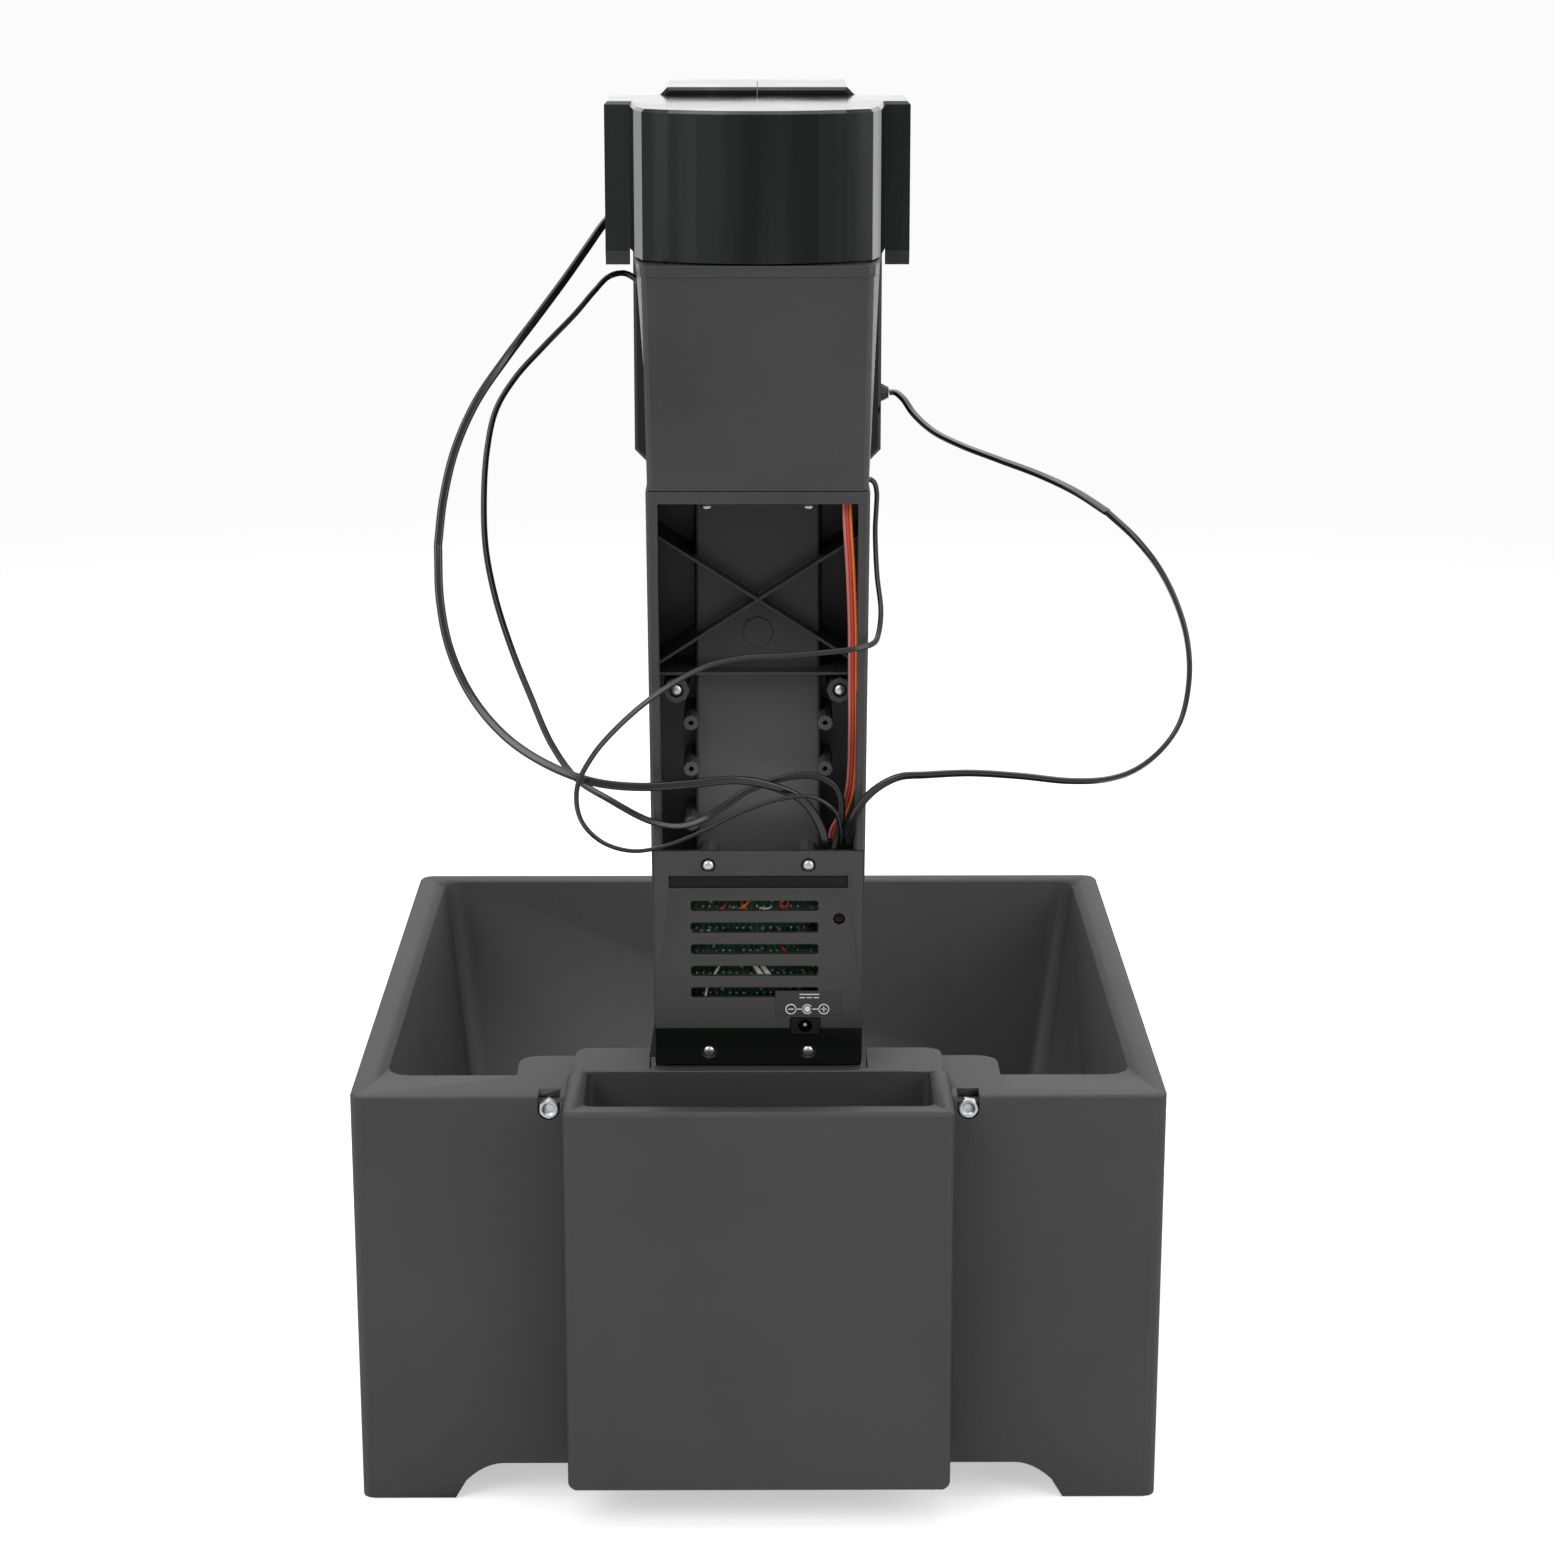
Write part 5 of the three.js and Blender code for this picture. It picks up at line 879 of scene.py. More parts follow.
    def build(self) -> list[Piece]:
        """Makes every cable.

        Returns:
            The cables' pieces.
        """
        thick, base, head, turret = self.motor_thick, Body.BASE, Body.HEAD, Body.TURRET
        cords = [
            Cord("upper_lead", "upper_motor_lead", self.upper_lead[::-1], thick, 0.7, head, turret),
            Cord("lower_lead", "lower_motor_lead", self.lower_lead[::-1], thick, 0.6, head, turret),
            Cord("upper_cable", "upper_motor_cable", self.upper[::-1], thick, 1.1, base, head),
            Cord("lower_cable", "lower_motor_cable", self.lower[::-1], thick, 1.2, base, head),
            Cord("sensor_line", "sensor_cable", self.sensor[::-1], self.sensor_thick, 1.4, base, head),
            Cord("swing_line", "swing_motor_cable", self.swing, self.swing_thick, 1.2, base),
        ]
        return [cord.build() for cord in cords] + [self.build_ribbon()]

    def build_ribbon(self) -> Piece:
        """Makes the three-wire ribbon inside the column.

        Returns:
            The ribbon's piece.
        """
        line = smooth_line(from_mm(self.ribbon), self.ribbon_step)
        shape = bmesh.new()
        pitch = self.wire_thick * 0.94
        for index, shift in enumerate((-pitch, 0.0, pitch)):
            section = [(a + shift, b) for a, b in round_section(self.wire_thick / 2, 10)]
            add_tube(shape, line, section, Vector((1, 0, 0)), material_index=index)
        made = close(shape, "ribbon_wires", None, Body.BASE, 60)
        for coat in (Coat.WIRE_ROSE, Coat.WIRE_RED, Coat.WIRE_ORANGE):
            made.data.materials.append(coat.material)
        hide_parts("ribbon_cable")
        round(length_of(line), 4)
        return made


@dataclass
class Studio:
    """The camera, the lamps, the floor and the white world."""

    lamps: Sequence[tuple[str, Point, Point, float, float]] = (
        ("key", (-1.5, -1.9, 1.9), (0, 0, 0.3), 1.6, 30),
        ("fill", (1.7, -1.7, 1.4), (0, 0, 0.3), 1.5, 18),
        ("top", (0.0, 0.2, 2.3), (0, 0, 0.3), 1.8, 26),
        ("back", (0.6, 1.5, 2.1), (0, 0, 0.3), 1.6, 10),
        ("glow", (0.0, 2.3, 1.0), (0, 0, 0.4), 2.0, 3),
    )
    place: Point = (0.0, -1.4461, 0.6172)
    pitch_deg: float = 14.11
    yaw_deg: float = -0.305
    lens: float = 84.32
    sensor: float = 36.0
    floor_half: float = 3.0
    floor_clear: tuple[float, float] = (0.5, 2.2)
    floor_low: float = -0.0004
    floor_glow: float = 0.5
    world_light: float = 0.55
    backdrop: float = 0.965
    room_light: float = 0.55
    room_edge: tuple[float, float] = (-0.45, -0.97)

    def set_camera(self) -> None:
        """Puts the camera where the photograph was taken from."""
        lens = bpy.data.cameras.new("camera")
        lens.lens = self.lens
        lens.sensor_width = self.sensor
        camera = bpy.data.objects.new("camera", lens)
        camera.location = self.place
        camera.rotation_euler = (math.radians(90 - self.pitch_deg), 0, math.radians(self.yaw_deg))
        bpy.context.scene.collection.objects.link(camera)
        bpy.context.scene.camera = camera

    def light(self) -> None:
        """Sets the soft lamps, the world and the floor."""
        bpy.context.scene.view_settings.view_transform = "Standard"
        self._world()
        self._floor()
        for lamp in self.lamps:
            self._lamp(*lamp)

    def _lamp(self, name: str, place: Point, aim: Point, size: float, power: float) -> None:
        """Adds one square area lamp.

        Args:
            name: Its name.
            place: Where it stands.
            aim: Where it points.
            size: Its side.
            power: Its power in watts.
        """
        data = bpy.data.lights.new(name, "AREA")
        data.size = size
        data.energy = power
        lamp = bpy.data.objects.new(name, data)
        lamp.location = place
        lamp.rotation_euler = (Vector(aim) - Vector(place)).to_track_quat("-Z", "Y").to_euler()
        bpy.context.scene.collection.objects.link(lamp)

    def _world(self) -> None:
        """Makes the world: white to the camera and in reflections, which dim towards the room's near side."""
        world = bpy.data.worlds.new("white_room")
        bpy.context.scene.world = world
        world.use_nodes = True
        background = next(n for n in world.node_tree.nodes if n.type == "BACKGROUND")
        background.inputs["Color"].default_value = (1, 1, 1, 1)
        book = NodeBook(world.node_tree)
        camera, glossy, through = (book.node("ShaderNodeLightPath", output=f"Is {kind} Ray")
                                   for kind in ("Camera", "Glossy", "Transmission"))
        seen = camera.or_more(glossy).or_more(through)
        direction = book.node("ShaderNodeTexCoord", output="Generated")
        depth = book.node("ShaderNodeSeparateXYZ", values={0: direction}, output="Y")
        dimmed = depth.fade(*self.room_edge) * (1 - self.room_light) * glossy
        level = self.world_light + seen * (self.backdrop - self.world_light)
        book.feed(background.inputs["Strength"], level - dimmed)

    def _floor(self) -> None:
        """Lays the pale floor, which keeps the robot's shadow and fades into the backdrop further out."""
        shape = bmesh.new()
        bmesh.ops.create_grid(shape, x_segments=1, y_segments=1, size=self.floor_half)
        recipe = Recipe("pale_floor")
        seen = recipe.node("ShaderNodeLightPath", output="Is Camera Ray")
        recipe.finish(Base_Color=(0.80, 0.80, 0.80), Roughness=0.9, Specular_IOR_Level=0.1,
                      Emission_Color=(1, 1, 1), Emission_Strength=seen * self.floor_glow)
        distance = recipe.node("ShaderNodeVectorMath", {"operation": "LENGTH"}, {0: recipe.place},
                               output="Value")
        solid = Signal(recipe, recipe.shader.outputs[0])
        clear = recipe.node("ShaderNodeBsdfTransparent")
        faded = distance.fade(*self.floor_clear)
        recipe.show(recipe.node("ShaderNodeMixShader", values={0: faded, 1: solid, 2: clear}))
        floor = close(shape, "floor", None, None, smooth_deg=None)
        floor.data.materials.append(recipe.material)
        floor.location.z = self.floor_low


@dataclass
class Shells:
    """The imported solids, each with its finish; curved ones get a smooth copy in their place."""

    finishes: Sequence[tuple[Coat, Sequence[str]]] = (
        (Coat.BIN, ("ball_bin", "rear_pocket", "bottom_cover")),
        (Coat.BRIGHT, ("bin_bolt_left", "bin_bolt_right", "column_screw_left", "column_screw_right")),
        (Coat.CAN, ("feeder_motor", "swing_motor", "upper_motor", "lower_motor")),
        (Coat.FRAME, ("column_rear_frame",)),
        (Coat.SHELL, ("column_front_cover", "vent_plate", "neck_rear_cover")),
        (Coat.BOARD, ("control_board",)),
        (Coat.CHIP, ("dc_jack", "ribbon_plug")),
        (Coat.NYLON, ("cable_header", "swing_bearing", "swing_pinion", "swing_gear")),
        (Coat.INNER, ("feeder_wheel", "ball_elbow", "head_frame", "ball_sensor", "turret_collar",
                      "upper_wheel_hub", "lower_wheel_hub")),
        (Coat.GLOSS, ("head_rear_cover", "turret_left_half", "turret_right_half", "exit_nozzle")),
        (Coat.RUBBER, ("upper_gland", "lower_gland")),
        (Coat.FOAM, ("upper_wheel_tyre", "lower_wheel_tyre")),
    )
    curved: Sequence[str] = (
        "column_front_cover", "neck_rear_cover", "feeder_wheel", "ball_elbow", "head_rear_cover",
        "turret_collar", "turret_left_half", "turret_right_half", "swing_bearing",
        "upper_motor", "lower_motor", "swing_motor", "feeder_motor", "upper_gland", "lower_gland",
        "upper_wheel_tyre", "lower_wheel_tyre", "upper_wheel_hub", "lower_wheel_hub", "ball_bin",
        "rear_pocket", "vent_plate",
    )
    plate_slant: float = -0.1
    plate_back: float = -0.5
    smooth_deg: float = 32.0
    crisp: Sequence[str] = ("head_rear_cover", "turret_left_half", "turret_right_half")
    crisp_deg: float = 9.4
    chamfer_y: float = -0.0900
    chamfer_reach: tuple[float, float] = (0.0425, 0.0455)
    chamfer_out: float = 0.00145
    seam_scale: float = 0.991
    seam_gap: float = 0.00003

    def build(self) -> list[Piece]:
        """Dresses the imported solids.

        Returns:
            The smooth copies.
        """
        coats = {node: coat for coat, nodes in self.finishes for node in nodes}
        for node, coat in coats.items():
            dress(frame["nodes"][node].data, coat)
        return [self._smooth_copy(n, coats[n]) for n in self.curved] + [self._seam_strip()]

    def _merged(self, node: str) -> Shape:
        """Copies a solid's mesh and merges its loose triangles.

        Args:
            node: The solid's node.

        Returns:
            The merged mesh.
        """
        shape = bmesh.new()
        shape.from_mesh(frame["nodes"][node].data)
        bmesh.ops.remove_doubles(shape, verts=shape.verts, dist=MERGE_REACH)
        return shape

    def _smooth_copy(self, node: str, coat: Coat) -> Piece:
        """Makes a merged and smoothly shaded copy that stands for a solid.

        Args:
            node: The solid's node.
            coat: Its finish.

        Returns:
            The copy.
        """
        shape = self._merged(node)
        if node == "head_rear_cover":
            self._chamfer_sides(shape)
        body = next(b for b in Body if frame["bodies"][b.value] == frame["nodes"][node].parent)
        sharp = self.crisp_deg if node in self.crisp else self.smooth_deg
        made = close(shape, f"{node}_shell", coat, body, sharp)
        # the plate's down-facing slanted faces get the darker coat: painted shade
        if node == "vent_plate":
            made.data.materials.append(Coat.FOOT.material)
            for face in made.data.polygons:
                slanted = face.normal.z < self.plate_slant and face.normal.y < self.plate_back
                face.material_index = int(slanted)
        weigh = made.modifiers.new("even", "WEIGHTED_NORMAL")
        weigh.keep_sharp = True
        apply_modifiers(made)
        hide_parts(node)
        return made

    def _chamfer_sides(self, shape: Shape) -> None:
        """Breaks the rear cover's sides into a slanted strip beside the panel and a straighter one in front.

        Args:
            shape: The cover's merged mesh.
        """
        geometry = [*shape.verts, *shape.edges, *shape.faces]
        bmesh.ops.bisect_plane(shape, geom=geometry, plane_co=(0, self.chamfer_y, 0), plane_no=(0, 1, 0))
        low, high = self.chamfer_reach
        for vert in shape.verts:
            if abs(vert.co.y - self.chamfer_y) < TOUCH and low < abs(vert.co.x) < high:
                vert.co.x += math.copysign(self.chamfer_out, vert.co.x)

    def _seam_strip(self) -> Piece:
        """Makes the tongue that closes the seam between the turret's halves, a little below its surface.

        Returns:
            The tongue's piece.
        """
        low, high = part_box("turret_left_half")
        near, far = high.x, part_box("turret_right_half")[0].x
        middle = Vector((0, (low.y + high.y) / 2, (low.z + high.z) / 2))
        shape = self._merged("turret_left_half")
        off = [f for f in shape.faces if any(abs(v.co.x - near) > 2 * MERGE_REACH for v in f.verts)]
        bmesh.ops.delete(shape, geom=off, context="FACES")
        grown = bmesh.ops.extrude_face_region(shape, geom=shape.faces[:])
        for vert in (v for v in grown["geom"] if isinstance(v, bmesh.types.BMVert)):
            vert.co.x = far
        for vert in shape.verts:
            vert.co = middle + (vert.co - middle) * self.seam_scale
            vert.co.x = max(near + self.seam_gap, min(far - self.seam_gap, vert.co.x))
        bmesh.ops.recalc_face_normals(shape, faces=shape.faces)
        return close(shape, "turret_seam", Coat.INNER, Body.TURRET, None)


def apply_modifiers(made: Piece) -> None:
    """Turns an object's modifiers into plain mesh and removes them.

    Args:
        made: The object.
    """
    depsgraph = bpy.context.evaluated_depsgraph_get()
    mesh = bpy.data.meshes.new_from_object(made.evaluated_get(depsgraph), preserve_all_data_layers=True,
                                           depsgraph=depsgraph)
    made.modifiers.clear()
    made.data = mesh


@dataclass
class Seat:
    """A packed screw or bolt, and the way its head faces."""

    node: str
    facing: Point
    lift: float = 0.0

    def top(self) -> Vector:
        """Finds the middle of the head's top.

        Returns:
            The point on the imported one's box, moved out by the lift.
        """
        low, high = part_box(self.node)
        facing = Vector(self.facing)
        middle, half = (low + high) / 2, (high - low) / 2
        return middle + facing * (half.dot(Vector(map(abs, facing))) + self.lift)


def seated(name: str, seats: Sequence[Seat], prototype: Piece, body: Body, turn_step: float) -> Piece:
    """Grows a prototype on the places of packed screws or bolts, and in their stead.

    Args:
        name: The piece's name.
        seats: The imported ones.
        prototype: What stands on them.
        body: The body that they ride on.
        turn_step: How far each one is turned against the one before, in radians.

    Returns:
        The piece.
    """
    host = point_host(name, [(seat.top(), seat.facing) for seat in seats])
    made = stand_on(host, prototype, body, turn_step)
    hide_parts(*[seat.node for seat in seats])
    return made


def point_host(name: str, places: Sequence[tuple[Vector, Point]]) -> Piece:
    """Makes an object of loose points that carry the directions of what will stand on them.

    Args:
        name: The object's name.
        places: Each point and its direction.

    Returns:
        The object.
    """
    mesh = bpy.data.meshes.new(name)
    mesh.from_pydata([place for place, _ in places], [], [])
    attribute = mesh.attributes.new("facing", "FLOAT_VECTOR", "POINT")
    for item, (_, facing) in zip(attribute.data, places):
        item.vector = facing
    return add_object(name, mesh)


def stand_on(host: Piece, prototype: Piece, body: Body, turn_step: float = 0.0) -> Piece:
    """Grows a bright prototype on each point of a host and lets the result ride on a body.

    Args:
        host: The points.
        prototype: What stands on them, which is removed afterwards.
        body: The body.
        turn_step: How far each one is turned against the one before, in radians.

    Returns:
        The finished piece.
    """
    grow_instances(host, prototype, Coat.BRIGHT, turn_step)
    bpy.data.objects.remove(prototype)
    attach(host, body.value)
    return host


@dataclass
class Screws:
    """Cross-recessed screws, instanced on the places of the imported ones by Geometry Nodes."""

    head_radius: float = 0.0022
    head_high: float = 0.0017
    shank: float = 0.0015
    pitch: float = 0.0006
    recess_half: float = 0.00034
    length: float = 0.0105
    cover_length: float = 0.006
    turn_step: float = 0.9
    tip: float = 0.0006
    thread_from: float = 0.0008
    plain_ends: float = 0.0012
    neck: float = 0.0002
    core_share: float = 0.78
    dome_share: float = 0.62
    recess_share: float = 0.62
    recess_taper: float = 0.45
    recess_deep: float = 0.7
    cover_shares: Sequence[float] = (0.035, 0.35, 0.65, 0.965)
    cover_proud: float = 0.0012
    base_seats: Sequence[Seat] = (
        *(Seat(f"vent_screw_{end}_{side}", (0, -1, 0))
          for end in ("top", "low") for side in ("left", "right")),
        *(Seat(f"column_screw_{side}", (0, -1, 0), 0.0012) for side in ("left", "right")),
        *(Seat(f"neck_screw_{side}", (0, 0, -1), 0.0005) for side in ("left", "right")),
    )
    turret_seats: Sequence[Seat] = (
        *(Seat(f"turret_screw_{end}_{side}", (1, 0, 0))
          for end in ("upper", "lower") for side in ("rear", "front")),
    )

    def build(self) -> list[Piece]:
        """Makes the three sets of screws.

        Returns:
            Their pieces.
        """
        made = []
        for name, seats, body in (("base_screws", self.base_seats, Body.BASE),
                                  ("turret_screws", self.turret_seats, Body.TURRET)):
            made.append(seated(name, seats, self._prototype(self.length), body, self.turn_step))
        return [*made, self._cover_screws()]

    def _prototype(self, length: float) -> Piece:
        """Makes one screw with its head's top at the origin, facing +Z.

        Args:
            length: Its whole length.

        Returns:
            The screw.
        """
        shape = bmesh.new()
        r, h, dome = self.head_radius, self.head_high, self.head_high * self.dome_share
        core = self.shank * self.core_share
        profile = [(0.0, -length), (self.shank * 0.5, -length), (self.shank * 0.75, -length + self.tip)]
        for i in range(int((length - h - self.plain_ends) / self.pitch)):
            low = -length + self.thread_from + i * self.pitch
            profile += [(core, low), (self.shank, low + self.pitch * 0.5)]
        profile += [(core, -h - self.neck), (self.shank, -h), (r * 0.96, -h), (r, -h * 0.8)]
        profile += [(r * math.cos(a), -dome + dome * math.sin(a)) for a in (0.3, 0.7, 1.1, 1.4)]
        profile.append((0.0, 0.0))
        add_revolved(shape, profile, Vector(), UP, 24)
        screw = close(shape, f"screw_{round(length / MM)}", Coat.BRIGHT, None, smooth_deg=40)
        cutter = self._recess()
        cut = screw.modifiers.new("recess", "BOOLEAN")
        cut.object = cutter
        cut.operation = "DIFFERENCE"
        apply_modifiers(screw)
        bpy.data.objects.remove(cutter)
        return screw

    def _recess(self) -> Piece:
        """Makes the tapered cross that is cut out of a head.

        Returns:
            The cross.
        """
        shape = bmesh.new()
        reach, wide = self.head_radius * self.recess_share, self.recess_half
        deep = self.head_high * self.recess_deep
        for along, across in (((1, 0, 0), (0, 1, 0)), ((0, 1, 0), (1, 0, 0))):
            turn = Matrix((Vector(along), Vector(across), UP)).transposed()
            for vert in add_box(shape, (-reach, -wide, -deep), (reach, wide, deep)):
                if vert.co.z < 0:
                    vert.co.x *= self.recess_taper
                vert.co = turn @ vert.co
        bmesh.ops.recalc_face_normals(shape, faces=shape.faces)
        return close(shape, "recess", Coat.BRIGHT, None, smooth_deg=None)

    def _cover_screws(self) -> Piece:
        """Puts screws round the bottom cover, with their heads down.

        Returns:
            Their piece.
        """
        low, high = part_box("bottom_cover")
        shares, size = self.cover_shares, high - low
        edge = [(a, b) for a in shares for b in shares if {a, b} & {shares[0], shares[-1]}]
        places = [(Vector((low.x + size.x * a, low.y + size.y * b, low.z - self.cover_proud)), (0, 0, -1))
                  for a, b in edge]
        screw = self._prototype(self.cover_length)
        return stand_on(point_host("cover_screws", places), screw, Body.BASE, self.turn_step)


@dataclass
class Muzzle:
    """The round mouth at the turret's front, with its flange and rounded lip."""

    wall: float = 0.0019
    flange: float = 0.0055
    thick: float = 0.0020
    inside: float = 0.0053
    lip: float = 0.0006
    lip_part: float = 0.3
    ease: float = 0.0003
    sides: int = 96

    def _lip(self, radius: float, height: float, out: int, up: int) -> list[Corner]:
        """Rounds one edge of the profile.

        Args:
            radius: The edge's radius before it is rounded.
            height: Its height.
            out: 1 where the rounding runs outwards from it, -1 where inwards.
            up: 1 where the rounding starts above it, -1 where below.

        Returns:
            Three points, from beside the edge to level with it.
        """
        lip, part = self.lip, self.lip * self.lip_part
        return [(radius, height + up * lip), (radius + out * part, height + up * part),
                (radius + out * lip, height)]

    def build(self) -> list[Piece]:
        """Turns the mouth about its own axis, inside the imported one's box.

        Returns:
            Its piece.
        """
        low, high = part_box("exit_nozzle")
        rim = (high.x - low.x) / 2
        tube = rim - self.flange
        bore, ease = tube - self.wall, self.ease
        back, foot, front = low.y, low.y + self.inside, high.y
        face = foot + self.thick
        profile = [(bore, back), (tube, back), (tube, foot), (rim - ease, foot), (rim, foot + ease),
                   *self._lip(rim, face, -1, -1), *self._lip(tube, face, 1, 1)[::-1],
                   *self._lip(tube, front, -1, -1), *self._lip(bore, front, 1, -1)[::-1]]
        shape = bmesh.new()
        centre = Vector(((low.x + high.x) / 2, 0, (low.z + high.z) / 2))
        add_revolved(shape, profile, centre, -REARWARDS, self.sides, loop=True)
        bmesh.ops.recalc_face_normals(shape, faces=shape.faces)
        made = close(shape, "muzzle", Coat.GLOSS, Body.TURRET, smooth_deg=50)
        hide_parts("exit_nozzle")
        return [made]


@dataclass
class HexBolts:
    """The two bolts that hold the pocket: hexagon heads with a shallow dish, grown by Geometry Nodes."""

    across: float = 0.007
    head_high: float = 0.003
    dish: float = 0.0023
    shank: float = 0.002
    length: float = 0.011
    sides: int = 48
    turn_step: float = 0.35
    seats: Sequence[Seat] = (Seat("bin_bolt_left", (0, -1, 0)), Seat("bin_bolt_right", (0, -1, 0)))

    def build(self) -> list[Piece]:
        """Makes the bolts.

        Returns:
            Their piece.
        """
        return [seated("pocket_bolts", self.seats, self._prototype(), Body.BASE, self.turn_step)]

    def _hexagon(self, turn: float) -> float:
        """Gives the hexagon's reach in one direction."""
        return self.across / 2 / math.cos((turn + math.pi / 6) % (math.pi / 3) - math.pi / 6)

    def _prototype(self) -> Piece:
        """Makes one bolt with its head's top at the origin, facing +Z.

        Returns:
            The bolt.
        """
        shape = bmesh.new()
        half, h, dish, beyond = self.across / 2, self.head_high, self.dish, 1.0
        levels = [
            (self.shank * 0.6, -self.length), (self.shank, -self.length + 0.001), (self.shank, -h),
            (beyond, -h), (beyond, -0.00055), (half * 1.08, -0.0003), (half, -0.00008), (half * 0.93, 0.0),
            (dish * 1.12, -0.00003), (dish, -0.00025), (dish * 0.8, -0.0007), (dish * 0.35, -0.001),
        ]
        rings = []
        for radius, height in levels:
            corners = [(min(radius, self._hexagon(t)), t) for t in turns_round(self.sides)]
            rings.append([shape.verts.new((r * math.cos(t), r * math.sin(t), height)) for r, t in corners])
        bridge(shape, rings)
        return close(shape, "bolt", Coat.BRIGHT, None, smooth_deg=25)


def grow_instances(host: Piece, prototype: Piece, coat: Coat, turn_step: float) -> None:
    """Puts a prototype on each vertex of a host by Geometry Nodes, and turns the result into plain mesh.

    Args:
        host: The object whose vertices carry the prototype, with the attribute facing.
        prototype: What is repeated, facing +Z.
        coat: The finish of every instance.
        turn_step: How far each one is turned about its own axis against the one before, in radians.
    """
    tree = bpy.data.node_groups.new(f"{host.name}_tree", "GeometryNodeTree")
    face, book = tree.interface, NodeBook(tree)
    face.new_socket("Geometry", in_out="INPUT", socket_type="NodeSocketGeometry")
    part = face.new_socket("Part", in_out="INPUT", socket_type="NodeSocketObject")
    step = face.new_socket("Turn Step", in_out="INPUT", socket_type="NodeSocketFloat")
    finish = face.new_socket("Finish", in_out="INPUT", socket_type="NodeSocketMaterial")
    face.new_socket("Geometry", in_out="OUTPUT", socket_type="NodeSocketGeometry")
    given = {s.name: Signal(book, s) for s in tree.nodes.new("NodeGroupInput").outputs}
    facing = book.node("GeometryNodeInputNamedAttribute", {"data_type": "FLOAT_VECTOR"}, {"Name": "facing"},
                       "Attribute")
    align = book.node("FunctionNodeAlignRotationToVector", {"axis": "Z"}, {"Vector": facing})
    turn = book.node("GeometryNodeInputIndex") * given["Turn Step"]
    spin = book.node("FunctionNodeAxisAngleToRotation", values={"Axis": UP, "Angle": turn})
    both = book.node("FunctionNodeRotateRotation", {"rotation_space": "LOCAL"},
                     {"Rotation": align, "Rotate By": spin})
    look = book.node("GeometryNodeObjectInfo", values={"Object": given["Part"]}, output="Geometry")
    put = book.node("GeometryNodeInstanceOnPoints",
                    values={"Points": given["Geometry"], "Instance": look, "Rotation": both})
    real = book.node("GeometryNodeRealizeInstances", values={0: put})
    dressed = book.node("GeometryNodeSetMaterial", values={"Geometry": real, "Material": given["Finish"]})
    book.feed(tree.nodes.new("NodeGroupOutput").inputs[0], dressed)
    grow = host.modifiers.new("grow", "NODES")
    grow.node_group = tree
    grow[part.identifier] = prototype
    grow[step.identifier] = turn_step
    grow[finish.identifier] = coat.material
    apply_modifiers(host)


